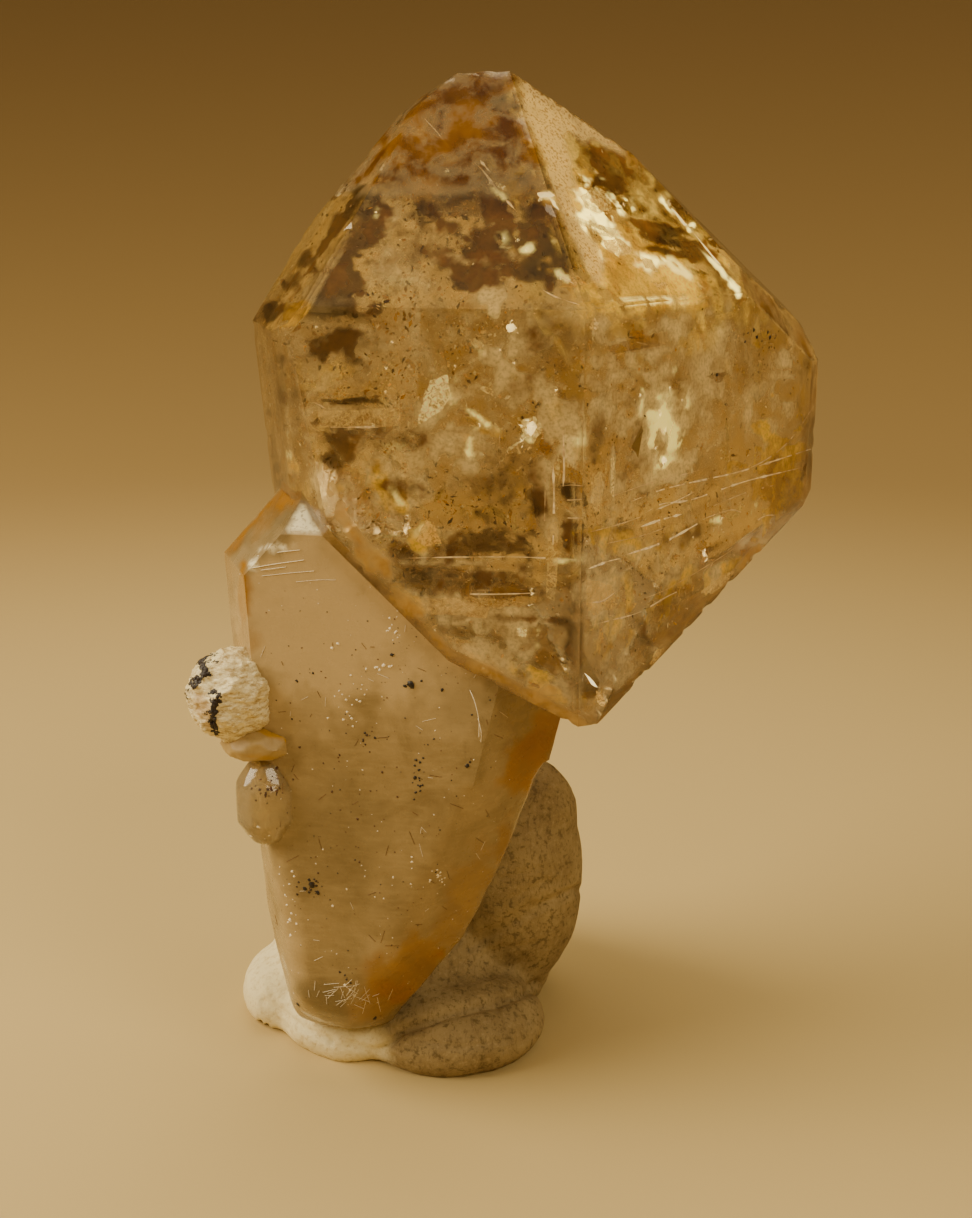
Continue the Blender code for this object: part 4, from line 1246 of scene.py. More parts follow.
def build_head():
    points, triangles, owners, gaps, mean = netted_crystal(HEAD_FACES, HEAD_NET)
    lift = np.zeros(len(points))
    inside = ramp(gaps, 0.0, 0.5)
    lift += inside * (0.015 * cloud(points, 4.5, 11, 2) + 0.003 * cloud(points, 0.9, 12, 2))
    front = owners == FRONT
    lift[front] += front_steps(points[front]) * inside[front]
    right = owners == RIGHT
    lift[right] += right_steps(points[right]) * inside[right]
    rims = owners < 0
    chips = ramp(cloud(points[rims], 0.8, 21, 3), 0.1, 0.7)
    low = 1.0 - ramp(points[rims, 2], 19.5, 24.0)
    lift[rims] -= (0.09 + 0.16 * low) * chips
    moved = points + mean * lift[:, None]
    stain = head_stain(points, owners, gaps)
    seen = pixels_of(points)
    upper = ((owners == UPPER_RIGHT) | ((owners < 0) & (mean @ HEAD_NORMALS[UPPER_RIGHT] > 0.9)))
    frost_and_reflection = spots(seen, FROST_REFLECTION_MARKS, 61, 0.25) * upper
    return new_object("head", moved, triangles, clear_quartz_material(), sharp=18.0,
                      paint={"stain": stain, "frost_and_reflection": np.clip(frost_and_reflection, 0.0, 1.0),
                             "gold": head_gold(points, owners, mean)})


# Peach frost on the upper right face as pixel marks: a granular surface, partly a painted reflection.
FROST_REFLECTION_MARKS = (
    (540, 112, 22, 34, -25, 1.0),
    (565, 112, 44, 16, 33, 1.0),
    (555, 150, 13, 40, -20, 1.0),
    (566, 205, 7, 36, -22, 1.0),
    (588, 250, 8, 30, -22, 1.0),
    (596, 262, 6, 18, 0, 1.0),
    (606, 136, 30, 8, 38, 0.8),
)
# Rim of the head's lower left edge, in pixels, where it is stained yellow.
GOLDEN_RIM = ((323, 480), (350, 530), (387, 575), (427, 630), (455, 660),
              (490, 672), (523, 690), (560, 713), (590, 728))
GOLDEN_MARKS = (
    (372, 560, 13, 30, -42, 1.0), (402, 602, 10, 26, -48, 1.0), (545, 694, 24, 13, 38, 1.0),
    (335, 505, 8, 26, -30, 0.8),
    (755, 558, 18, 10, -42, 1.0), (715, 586, 24, 6, -38, 0.6), (662, 650, 16, 6, -50, 0.5),
    (600, 712, 12, 12, 0, 0.7), (596, 318, 50, 4, -3, 0.4),
)


def head_gold(points, owners, mean):
    """Yellow stain and chipped, milky quartz along the lower rims and below."""
    seen = pixels_of(points)
    facing = ramp(mean @ -np.array(FORWARD), -0.1, 0.2)
    rim = np.exp(-(line_distance(seen, GOLDEN_RIM) / 9.0) ** 2) * ramp(cloud(points, 1.6, 52, 4), -0.5, 0.3)
    under = np.isin(owners, UNDERSIDE) * 0.9
    marked = spots(seen, GOLDEN_MARKS, 53) * ramp(cloud(points, 0.9, 54, 4), -0.5, 0.2)
    return np.clip(np.maximum.reduce([rim * facing, marked * facing, under]), 0.0, 1.0)


# Growth steps of the front face: height, left and right end, rise and width in mm.
FRONT_STEPS = (
    (29.4, -6.6, -3.7, 0.10, 1.6),
    (24.4, -3.4, 3.6, 0.06, 0.8),
    (23.1, -2.8, 2.2, 0.05, 0.6),
    (26.0, -3.5, 3.0, 0.03, 0.7),
    (21.6, -0.5, 3.2, 0.03, 0.6),
)
UNDERSIDE = (UNDER_LEFT, UNDER_FRONT, UNDER_RIGHT)


def front_steps(points):
    """Growth steps on the broad front face: height over x for each lower rim."""
    total = np.zeros(len(points))
    for base, left, end, proud, width in FRONT_STEPS:
        above = points[:, 2] - base - 0.06 * cloud(points, 1.5, 31, 2)
        fade = ramp(points[:, 0], left - 0.5, left + 0.3) * (1.0 - ramp(points[:, 0], end - 1.0, end + 1.0))
        total += proud * fade * ramp(above, -0.12, 0.1) * (1.0 - ramp(above, 0.1, width))
    return total


def right_steps(points):
    """Rising curved growth lines across the lower half of the right face."""
    along = points[:, 0] - 3.7
    level = points[:, 2] - 0.082 * along - 0.006 * along * along + 0.3 * cloud(points, 6.0, 41, 2)
    band = np.floor(level * 1.7)
    inner = level * 1.7 - band
    pick = np.abs(np.sin(band * 12.9898) * 43758.5453) % 1.0
    strength = ramp(cloud(np.column_stack((along * 0.5, band * 7.0, band)), 1.6, 42, 2), -0.2, 0.6)
    part = ramp(points[:, 2], 20.5, 22.5) * (1.0 - ramp(points[:, 2], 27.0, 28.6))
    return 0.07 * part * (0.3 + pick) * strength * ramp(inner, 0.0, 0.12) * (1.0 - inner)


def head_stain(points, owners, gaps):
    """Iron stain: thick at the top, along the right edge and on the lower rims."""
    top = ramp(points[:, 2], 37.0, 39.0) * (1.0 - ramp(points[:, 0], 1.5, 5.0)) * 1.3
    near_rim = 1.0 - ramp(gaps, 0.0, 0.9)
    strip = np.isin(owners, (RIGHT_STRIP, SHOULDER)) * 1.2
    corner = ramp(points[:, 0], 12.0, 14.6) * (1.0 - ramp(points[:, 2], 27.0, 30.0)) * 0.9
    low_left = near_rim * (owners != RIGHT) * (1.0 - ramp(points[:, 2], 22.0, 26.5)) * 0.9
    tip = near_rim * (1.0 - ramp(points[:, 2], 18.5, 20.5)) * 0.8
    left = (owners == UPPER_LEFT) * 0.3
    under = np.isin(owners, UNDERSIDE) * 0.4
    behind = np.isin(owners, (BACK, LEFT_BACK, UPPER_BACK, UPPER_LEFT_BACK)) * 0.4
    patch = 0.5 + 0.5 * cloud(points, 3.0, 51, 3)
    stain = np.maximum.reduce([top, strip, corner, low_left, tip, left, under, behind])
    return np.clip(stain * (0.4 + patch), 0.0, 1.0)


def settled(thing):
    """Points, faces and point normals of a thing with its modifiers applied; the
    thing itself goes."""
    graph = bpy.context.evaluated_depsgraph_get()
    mesh = bpy.data.meshes.new_from_object(thing.evaluated_get(graph))
    bpy.data.objects.remove(thing)
    points = np.array([vert.co for vert in mesh.vertices]) / MM + np.array(FOOTPRINT_MIDDLE)
    normals = np.array([vert.normal for vert in mesh.vertices])
    return points, [list(face.vertices) for face in mesh.polygons], normals


def cut_away(points, faces, cutter):
    """Points, faces and normals of a closed mesh, less a cutter mesh."""
    blank = bpy.data.materials.new("blank")
    body = new_object("cut_body", points, faces, blank)
    tool = new_object("cut_tool", *cutter, blank)
    step = body.modifiers.new("cut", "BOOLEAN")
    step.operation = "DIFFERENCE"
    step.solver = "EXACT"
    step.object = tool
    rest = settled(body)
    bpy.data.objects.remove(tool)
    return rest


def surface_tree(points, faces):
    """Search tree for rays that meet a surface."""
    return BVHTree.FromPolygons([Vector(point) for point in points], faces)


# Colour of the stem as marks in the picture: rust, pale milk, grey, and painted reflection on bright facets.
STEM_STAIN = (
    (243, 592, 4, 40, 0, 1.2), (238, 520, 14, 44, 28, 0.8), (290, 484, 16, 34, 30, 0.9),
    (262, 500, 5, 50, 30, 0.8),
    (530, 765, 34, 26, -50, 1.0), (507, 850, 9, 34, 0, 0.6), (405, 970, 36, 30, -40, 0.7),
    (380, 1000, 30, 16, -20, 0.5), (245, 600, 6, 26, 0, 0.7), (275, 500, 10, 40, 30, 0.5),
    (248, 640, 12, 14, 0, 0.5), (460, 900, 20, 60, 25, 0.4), (550, 730, 20, 20, 0, 0.8),
)
STEM_PALE = (
    (300, 590, 90, 60, 0, 0.9), (380, 640, 120, 60, 0, 0.7), (300, 680, 70, 60, 0, 0.5),
    (290, 930, 14, 70, -6, 0.5),
    (380, 960, 24, 20, 0, 0.4), (440, 700, 60, 40, 0, 0.4),
)
STEM_GREY = (
    (252, 530, 30, 62, 25, 1.2), (228, 600, 8, 50, 0, 0.5), (300, 470, 24, 40, 30, 0.8),
    (320, 1000, 34, 16, 30, 1.0), (400, 1015, 60, 16, -20, 0.6), (470, 700, 60, 30, 0, 0.5),
    (330, 850, 60, 60, 0, 0.4),
)
STEM_PAINTED_GLINT = ((254, 564, 5, 5, 0, 1.0), (280, 548, 18, 2.2, -3, 1.0))


def build_stem():
    points, triangles, owners, gaps, mean = netted_crystal(STEM_FACES, STEM_NET)
    bm = bmesh.new()
    verts = [bm.verts.new(point) for point in points]
    for triangle in triangles:
        bm.faces.new([verts[corner] for corner in triangle])
    low = [vert for vert in bm.verts if vert.co.z < 15.0]
    for _ in range(14):
        bmesh.ops.smooth_vert(bm, verts=low, factor=0.5, use_axis_x=True, use_axis_y=True, use_axis_z=True)
    bm.normal_update()
    out = np.array([vert.normal for vert in bm.verts])
    points = np.array([vert.co for vert in bm.verts])
    bm.free()
    rugged = ramp(-points[:, 2], -14.0, -6.0)
    lift = 0.02 * cloud(points, 3.4, 61, 3) - 0.02 + rugged * 0.1 * (cloud(points, 2.2, 62, 3) - 0.3)
    side = np.abs(out @ STEM_NORMALS[STEM_FRONT]) < 0.8
    lift += side * 0.02 * cloud(points * (0.3, 0.3, 1.0), 0.35, 63, 2)
    points = points + out * lift[:, None]
    head = cut_crystal(HEAD_FACES, -0.4)
    cutter = mesh_arrays(head)
    head.free()
    points, faces, out = cut_away(points, triangles, cutter)
    seen = pixels_of(points)
    away = np.array(CAMERA_PLACE) - points
    facing = ramp((out * away).sum(axis=1) / np.linalg.norm(away, axis=1), 0.0, 0.3)
    paint = {}
    for label, marks, seed in (("stain", STEM_STAIN, 65), ("pale", STEM_PALE, 66), ("grey", STEM_GREY, 67),
                               ("painted_bright", STEM_PAINTED_GLINT, 68)):
        rough = 0.15 if label == "painted_bright" else 0.35
        paint[label] = np.clip(spots(seen, marks, seed, rough), 0.0, 1.0) * facing
    outside = (points @ HEAD_NORMALS.T - HEAD_REACHES).max(axis=1)
    # The top facet outside the head is painted bright as a reflection.
    facet_reflection = ramp(out @ STEM_NORMALS[STEM_TOP_FACET], 0.955, 0.985) * ramp(points[:, 2], 15.0, 17.0)
    facet_reflection = facet_reflection * ramp(outside, -0.05, 0.05)
    paint["painted_bright"] = np.maximum(paint["painted_bright"], facet_reflection)
    patch = ramp(cloud(points, 3.4, 69, 3), 0.15, 0.6)
    paint["stain"] = np.maximum(paint["stain"], patch * (1.0 - facing) * 0.8)
    return new_object("stem", points, faces, stem_material(), sharp=30.0, paint=paint), (points, faces)


def stem_material():
    shader = Shader("milky_quartz")
    milk = shader.noise(2.2, 6.0, 0.62, 0.6)
    cloudy = shader.noise(5.0, 3.0, 0.5)
    streak = shader.noise(0.5, 5.0, 0.6, 0.3, (0.5, 0.5, 3.0))
    base = shader.mix(shader.between(milk, 0.3, 0.7), colour(128, 106, 66), colour(162, 138, 94))
    base = shader.mix(shader.between(cloudy, 0.35, 0.65, 0.0, 0.45), base, colour(142, 120, 78))
    base = shader.mix(shader.between(streak, 0.4, 0.75, 0.0, 0.2), base, colour(190, 166, 118))
    base = shader.mix(shader.math("MULTIPLY", shader.painted("pale"), 0.75), base, colour(206, 180, 132))
    base = shader.mix(shader.math("MULTIPLY", shader.painted("grey"), 0.6), base, colour(104, 88, 56))
    rust = shader.mix(milk, colour(118, 70, 6), colour(176, 124, 24))
    amount = shader.math("MULTIPLY", shader.painted("stain"), shader.between(milk, 0.2, 0.6, 0.5, 1.0), True)
    base = shader.mix(amount, base, rust)
    grit = shader.noise(0.14, 3.0, 0.6)
    # Painted glints of reflection on the bright facets.
    painted_glint = shader.math("MULTIPLY", shader.painted("painted_bright"),
                          shader.between(grit, 0.34, 0.5, 0.4, 1.0), True)
    base = shader.mix(painted_glint, base, colour(255, 246, 210))
    shader.link(base, "Base Color")
    shader.link(shader.between(shader.noise(0.8, 5.0), 0.3, 0.7, 0.16, 0.38), "Roughness")
    first = shader.bump(shader.noise(0.45, 5.0, 0.6), 0.15, 0.04)
    scratch = shader.noise(0.2, 4.0, 0.6, 0.5, (1.0, 1.0, 0.12), (0.0, 0.3, 0.0))
    shader.link(shader.bump(scratch, 0.12, 0.03, first), "Normal")
    return shader.mat


# Specks on the stem: pixel and half size in mm.
BLACK_SPECKS = (
    ((392, 655), 0.09), ((411, 684), 0.17), ((405, 686), 0.08), ((365, 733), 0.06), ((375, 738), 0.06),
    ((363, 741), 0.05), ((416, 760), 0.08), ((419, 770), 0.06), ((415, 778), 0.08), ((420, 786), 0.06),
    ((423, 758), 0.05), ((467, 766), 0.1), ((470, 762), 0.05), ((312, 885), 0.13), ((305, 889), 0.09),
    ((318, 893), 0.1), ((309, 880), 0.06), ((297, 681), 0.06), ((292, 719), 0.05), ((313, 673), 0.05),
    ((472, 715), 0.05), ((442, 690), 0.07), ((300, 721), 0.03), ((340, 790), 0.04), ((351, 812), 0.03),
    ((440, 830), 0.04), ((298, 1004), 0.12), ((375, 1018), 0.1), ((358, 1030), 0.09), ((345, 975), 0.05),
    ((436, 872), 0.05), ((384, 700), 0.03), ((330, 900), 0.04), ((355, 860), 0.04), ((490, 700), 0.04),
    ((434, 739), 0.05), ((405, 718), 0.04), ((327, 612), 0.03), ((300, 611), 0.03), ((352, 655), 0.03),
)
WHITE_SPECKS = (
    ((332, 648), 0.07), ((338, 644), 0.06), ((380, 670), 0.06), ((395, 633), 0.05), ((384, 665), 0.07),
    ((347, 712), 0.05), ((352, 705), 0.04), ((430, 880), 0.06), ((442, 882), 0.05), ((437, 870), 0.05),
    ((328, 718), 0.05), ((357, 700), 0.05), ((360, 790), 0.03), ((412, 862), 0.05), ((366, 669), 0.05),
    ((287, 905), 0.06), ((290, 920), 0.08), ((285, 895), 0.05), ((350, 990), 0.05), ((345, 985), 0.07),
    ((355, 995), 0.05), ((392, 625), 0.03), ((397, 617), 0.03), ((393, 640), 0.03),
)
# Groups of specks: middle and spread in pixels, number, tone from dark to white.
SPECK_GROUPS = (
    (312, 887, 7, 5, 16, 0.1), (418, 772, 3, 11, 14, 0.0), (411, 685, 6, 2, 6, 0.0),
    (366, 735, 6, 5, 8, 0.15),
    (436, 880, 9, 6, 12, 1.0), (383, 667, 6, 4, 7, 1.0), (352, 695, 8, 16, 16, 0.9),
    (330, 780, 30, 40, 14, 0.2),
    (290, 905, 4, 18, 14, 1.0), (400, 870, 40, 30, 18, 0.9), (268, 792, 7, 4, 16, 0.2),
    (262, 834, 6, 4, 5, 1.0), (272, 780, 8, 10, 8, 0.3), (360, 830, 30, 30, 12, 0.25),
    (394, 632, 3, 9, 8, 1.0), (440, 1000, 20, 10, 8, 0.2), (346, 975, 4, 4, 6, 0.1),
)
SPECK_GROWTH = 1.3
FINE_SPECKS, LINT_FIBRES, SCRATCHES = 420, 34, 70
FIBRE_RADIUS = 0.009
SPECK_SEED, STAIN_SEED = 900, 950

# Where fine specks, scratches and lint lie, in pixels.
SPECK_RIGHT, SPECK_DOWN = (255, 545), (580, 1020)
SCRATCH_RIGHT, SCRATCH_DOWN = (265, 500), (600, 960)
LINT_RIGHT, LINT_DOWN = (345, 13), (994, 7)

# Hairs and bright scratches: corner pixels, radius, and rise of their middles, in mm.
HAIRS = (
    (((470, 690), (476, 700), (480, 718), (479, 737)), 0.014, 0.25),
    (((478, 718), (482, 730), (481, 742)), 0.012, 0.2),
    (((458, 940), (466, 944), (470, 950)), 0.012, 0.12),
    (((462, 950), (468, 942), (474, 938)), 0.012, 0.12),
    (((252, 568), (275, 564), (304, 560)), 0.016, 0.0),
    (((240, 574), (262, 570), (286, 567)), 0.012, 0.0),
    (((262, 576), (290, 573), (314, 571)), 0.012, 0.0),
    (((258, 556), (280, 552), (300, 550)), 0.014, 0.0),
    (((296, 582), (318, 580), (336, 580)), 0.009, 0.0),
)

# Dark specks on the right face of the head.
HEAD_SPECKS = (
    ((754, 330), 0.1), ((757, 337), 0.11), ((768, 332), 0.09), ((770, 337), 0.11), ((745, 342), 0.08),
    ((762, 341), 0.06),
    ((717, 375), 0.1), ((712, 374), 0.06), ((748, 333), 0.06), ((775, 338), 0.06),
)


def ray_hit(tree, pixel):
    hit, normal, _, _ = tree.ray_cast(CAMERA_PLACE, sight(pixel))
    return hit, normal


def add_blot(batch, tree, pixel, half, rng, **paint):
    """Small ragged fleck pressed on the surface seen at a pixel."""
    hit, normal = ray_hit(tree, pixel)
    if hit is not None:
        add_fleck(batch, hit, normal, half, rng, **paint)


def add_fleck(batch, hit, normal, half, rng, **paint):
    across = normal.orthogonal().normalized()
    up = normal.cross(across)
    sides = 9
    points = [hit + normal * (0.35 * half)]
    for ring, lift in ((0.55, 0.28), (1.0, -0.12)):
        for side in range(sides):
            angle = 2.0 * math.pi * side / sides
            reach = half * ring * rng.uniform(0.45, 1.25)
            points.append(hit + across * (reach * math.cos(angle)) + up * (reach * math.sin(angle))
                          + normal * (half * lift))
    batch.add(points, fan_faces(2, sides), **paint)


def surface_line(tree, pixels, lift):
    """Smooth line a little over the surface seen at some pixels, or nothing."""
    hits = [ray_hit(tree, pixel) for pixel in pixels]
    if any(hit is None for hit, normal in hits):
        return None
    return even_line([hit + normal * lift for hit, normal in hits], 0.1)


def add_lint(batch, tree, rng):
    """Tangle of short pale fibres near the foot of the stem."""
    for _ in range(LINT_FIBRES):
        middle = np.array((rng.normal(*LINT_RIGHT), rng.normal(*LINT_DOWN)))
        angle, half = rng.uniform(0.0, math.pi), rng.uniform(3.0, 9.0)
        run = half * np.array((math.cos(angle), math.sin(angle)))
        line = surface_line(tree, [middle + run * share for share in (-1.0, -0.2, 0.5, 1.0)], 0.02)
        if line is not None:
            add_tube(batch, line, FIBRE_RADIUS, tone=0.95)


def add_hairs(batch, tree):
    for pixels, radius, rise in HAIRS:
        corners = []
        for step, pixel in enumerate(pixels):
            hit, normal = ray_hit(tree, pixel)
            if hit is not None:
                corners.append(hit + normal * (radius + (rise if 0 < step < len(pixels) - 1 else 0.0)))
        if len(corners) > 1:
            add_tube(batch, even_line(corners, 0.08), radius, tone=1.0)


def add_scratches(batch, tree, rng):
    for _ in range(SCRATCHES):
        start = np.array((rng.uniform(*SCRATCH_RIGHT), rng.uniform(*SCRATCH_DOWN)))
        angle, length = rng.uniform(0.0, math.pi), rng.uniform(3.0, 14.0)
        run = length * np.array((math.cos(angle), math.sin(angle)))
        line = surface_line(tree, [start + run * share for share in (0.0, 0.4, 0.7, 1.0)], 0.006)
        if line is not None:
            add_tube(batch, line, FIBRE_RADIUS, tone=rng.choice((0.3, 0.5, 0.9)))


def speck_material():
    shader = Shader("specks")
    tone = shader.painted("tone")
    base = shader.mix(shader.between(tone, 0.0, 0.5), colour(34, 24, 14), colour(110, 62, 18))
    shader.link(shader.mix(shader.between(tone, 0.5, 1.0), base, colour(250, 238, 212)), "Base Color")
    shader.set(Roughness=0.5)
    shader.link(shader.bump(shader.noise(0.05), 0.4, 0.02), "Normal")
    return shader.mat


def build_specks(stem, knob):
    """Specks, fibres and scratches on the stem, the knob and the head's right face."""
    shift = len(stem[0])
    faces = [list(face) for face in stem[1]] + [[corner + shift for corner in face] for face in knob[1]]
    tree = surface_tree(np.vstack((stem[0], knob[0])), faces)
    rng = np.random.default_rng(SPECK_SEED)
    batch = Batch("tone")
    for tone, specks in ((0.0, BLACK_SPECKS), (1.0, WHITE_SPECKS)):
        for pixel, half in specks:
            add_blot(batch, tree, pixel, SPECK_GROWTH * half, rng, tone=tone)
    for _ in range(FINE_SPECKS):
        pixel = (rng.uniform(*SPECK_RIGHT), rng.uniform(*SPECK_DOWN))
        add_blot(batch, tree, pixel, rng.uniform(0.014, 0.045), rng, tone=rng.choice((0.0, 0.3, 1.0)))
    for right, down, spread_right, spread_down, count, tone in SPECK_GROUPS:
        for _ in range(count):
            pixel = (right + rng.normal(0.0, spread_right), down + rng.normal(0.0, spread_down))
            add_blot(batch, tree, pixel, rng.uniform(0.025, 0.085), rng, tone=tone)
    for pixel, half in HEAD_SPECKS:
        add_fleck(batch, on_face(HEAD_FACES, RIGHT, pixel), Vector(HEAD_NORMALS[RIGHT]), half, rng, tone=0.0)
    add_lint(batch, tree, rng)
    add_hairs(batch, tree)
    add_scratches(batch, tree, rng)
    return batch.make("specks", speck_material())


SIDE_TAN = ((205, 712, 7, 22, -20, 0.7), (196, 650, 5, 10, 0, 0.5))
FOOT_GOLD = ((276, 735, 24, 4, 16, 1.0), (293, 742, 6, 6, 0, 0.8), (262, 757, 14, 2.5, 5, 0.6))
NODULE_LEANS = (24.0, 56.0, 90.0, 124.0, 156.0)


def nodule_faces(half, flats, twist):
    faces = [(0.0, 0.0, half[2]), (0.0, 180.0, half[2])]
    for ring, lean in enumerate(NODULE_LEANS):
        for flat in range(flats):
            turn = twist + 360.0 * (flat + 0.5 * (ring % 2)) / flats
            normal = face_normal(turn, lean)
            reach = Vector((normal.x * half[0], normal.y * half[1], normal.z * half[2])).length
            faces.append((turn, lean, reach))
    return tuple(faces)


def nodule_net(half, flats, twist, detail):
    """Net over a faceted lump: directions, distances to its flats, and triangles."""
    bm = bmesh.new()
    bmesh.ops.create_icosphere(bm, subdivisions=detail, radius=1.0)
    unit, faces = mesh_arrays(bm)
    bm.free()
    flats = nodule_faces(half, flats, twist)
    normals = np.array([face_normal(turn, lean) for turn, lean, reach in flats])
    reaches = np.array([reach for turn, lean, reach in flats])
    toward = unit @ normals.T
    distance = np.where(toward > 1e-6, reaches / np.maximum(toward, 1e-6), FAR_OFF).min(axis=1)
    return unit, distance, faces


def build_side_crystal():
    unit, distance, faces = nodule_net(SIDE_HALF, 7, 12.0, 6)
    place = unit * distance[:, None]
    blocks = np.floor(cloud(place * (1.0, 1.0, 1.4), 0.75, 84, 3) * 6.0) / 6.0
    crumbs = np.floor(cloud(place * (1.0, 1.0, 1.8) + 5.0, 0.34, 85, 3) * 5.0) / 5.0
    level = place[:, 2] - 0.35 * place[:, 0] + 0.3 * cloud(place, 0.9, 83, 3)
    rib = (level / 0.22) % 1.0
    lift = 0.2 * blocks + 0.09 * crumbs + 0.02 * ramp(rib, 0.0, 0.3) * (1.0 - ramp(rib, 0.4, 1.0)) - 0.05
    place = place + unit * lift[:, None] + np.array(SIDE_MIDDLE)
    shader = Shader("white_quartz")
    streak = shader.noise(0.3, 6.0, 0.66, 0.6, (0.8, 0.8, 2.6), (0.0, 0.2, 0.0))
    grit = shader.noise(0.1, 4.0, 0.7)
    base = shader.mix(shader.between(streak, 0.3, 0.62), colour(174, 144, 86), colour(246, 232, 184))
    base = shader.mix(shader.between(grit, 0.5, 0.7, 0.0, 0.7), base, colour(255, 250, 212))
    tan = shader.painted("tan")
    base = shader.mix(tan, base, shader.mix(streak, colour(150, 116, 66), colour(206, 172, 116)))
    shader.link(base, "Base Color")
    shader.set(Roughness=0.35)
    shader.link(shader.bump(streak, 0.7, 0.1), "Normal")
    seen = pixels_of(place)
    tan = spots(seen, SIDE_TAN, 86, 0.3)
    thing = new_object("side_crystal", place, faces, shader.mat, sharp=50.0,
                       paint={"tan": np.clip(tan, 0.0, 1.0)})
    return thing, (place, faces)


DENDRITES = (
    (((203, 643), (206, 651), (201, 661), (205, 672), (197, 680), (194, 686)), 0.11),
    (((207, 652), (213, 656)), 0.05), (((204, 662), (213, 661), (218, 662)), 0.04),
    (((198, 681), (190, 678), (186, 673)), 0.06), (((207, 672), (211, 675)), 0.05), (((205, 668),
    (199, 663)), 0.05),
    (((213, 691), (218, 696), (215, 705), (212, 700)), 0.08), (((213, 692), (209, 694)), 0.05),
    (((217, 700), (221, 702)), 0.05), (((214, 705), (213, 716), (214, 728), (217, 734)), 0.09),
    (((184, 694), (186, 698)), 0.06), (((187, 690), (189, 689)), 0.04), (((205, 713), (210, 711)), 0.04),
    (((201, 668), (196, 662)), 0.04), (((214, 656), (217, 653)), 0.03), (((212, 718), (209, 722)), 0.04),
)


def build_dendrites(side):
    """Black branching stain that follows the ribbed surface."""
    tree = surface_tree(*side)
    rng = np.random.default_rng(STAIN_SEED)
    batch = Batch()
    for pixels, half in DENDRITES:
        flat = even_line([(right, down, 0.0) for right, down in pixels], 1.2)
        for place in flat:
            for _ in range(3):
                pixel = (place[0] + rng.normal(0.0, 18.0 * half), place[1] + rng.normal(0.0, 18.0 * half))
                add_blot(batch, tree, pixel, half * rng.uniform(0.6, 1.3), rng)
    shader = Shader("black_stain")
    shader.link(shader.mix(shader.noise(0.08), colour(18, 16, 22), colour(52, 34, 22)), "Base Color")
    shader.set(Roughness=0.45)
    shader.link(shader.bump(shader.noise(0.06), 0.5, 0.03), "Normal")
    return batch.make("black_stain", shader.mat)


def build_foot_crystal():
    unit, distance, faces = nodule_net(FOOT_CRYSTAL_HALF, 6, 5.0, 5)
    place = unit * (distance + 0.12 * cloud(unit, 0.6, 91, 4) - 0.06)[:, None] + np.array(FOOT_CRYSTAL_MIDDLE)
    shader = Shader("tan_quartz")
    tone = shader.noise(0.5, 6.0, 0.62, 0.5)
    base = shader.mix(tone, colour(148, 122, 74), colour(198, 170, 114))
    shader.link(shader.mix(shader.painted("gold"), base, colour(180, 136, 40)), "Base Color")
    shader.set(Roughness=0.5)
    shader.link(shader.bump(tone, 0.4, 0.05), "Normal")
    gold = spots(pixels_of(place), FOOT_GOLD, 92)
    return new_object("foot_crystal", place, faces, shader.mat, sharp=70.0,
                      paint={"gold": np.clip(gold, 0.0, 1.0)})


def build_knob():
    unit, distance, faces = nodule_net(KNOB_HALF, 9, 0.0, 5)
    smooth = 0.55 * distance + 0.45 / np.linalg.norm(unit / KNOB_HALF, axis=1)
    place = unit * (smooth + 0.05 * cloud(unit, 0.5, 95, 3) - 0.03)[:, None] + np.array(KNOB_MIDDLE)
    shader = Shader("knob_quartz")
    tone = shader.noise(0.6, 6.0, 0.62, 0.5)
    shader.link(shader.mix(tone, colour(222, 198, 146), colour(252, 236, 190)), "Base Color")
    shader.set(Roughness=0.06, IOR=QUARTZ_IOR, Transmission_Weight=0.8)
    shader.link(shader.bump(shader.noise(0.4), 0.25, 0.05), "Normal")
    return new_object("knob", place, faces, shader.mat, sharp=40.0), (place, faces)


def build_putty():
    bm = bmesh.new()
    for middle, half, turn in PUTTY_LUMPS:
        size = Matrix.Diagonal((half[0], half[1], half[2], 1.0))
        spin = Matrix.Rotation(math.radians(turn), 4, "Z")
        place = Matrix.Translation(middle) @ spin @ size
        bmesh.ops.create_icosphere(bm, subdivisions=4, radius=1.0, matrix=place)
    points, faces = mesh_arrays(bm)
    bm.free()
    draft = new_object("putty_draft", points, faces, bpy.data.materials.new("draft"))
    skin = draft.modifiers.new("skin", "REMESH")
    skin.mode = "VOXEL"
    skin.voxel_size = PUTTY_GRAIN * MM
    soften = draft.modifiers.new("soften", "SMOOTH")
    soften.iterations = 30
    points, faces, normals = settled(draft)
    lift = 0.14 * cloud(points, 2.8, 71, 3) + 0.05 * cloud(points, 0.7, 72, 4) - 0.11
    seen = pixels_of(points)
    for crease, deep, wide in PUTTY_CREASES:
        lift -= 1.2 * deep * np.exp(-(line_distance(seen, crease) / wide) ** 2)
    for right, down, reach, deep in PUTTY_PITS:
        far = np.hypot(seen[:, 0] - right, seen[:, 1] - down)
        lift -= deep * np.exp(-(far / reach) ** 2)
    points = points + normals * lift[:, None]
    points[:, 2] = np.maximum(points[:, 2], 0.0)
    # Cream on the low left roll: partly the putty's own colour, partly painted light on its lit side.
    edge = seen[:, 0] + 10.0 * cloud(points, 1.5, 73, 3)
    cream_and_lit = ramp(-edge, -CREAM_AND_LIT_END[1], -CREAM_AND_LIT_END[0]) * ramp(-points[:, 2], -6.0, -4.0)
    return new_object("putty_lump", points, faces, putty_material(), paint={"cream_and_lit": cream_and_lit})


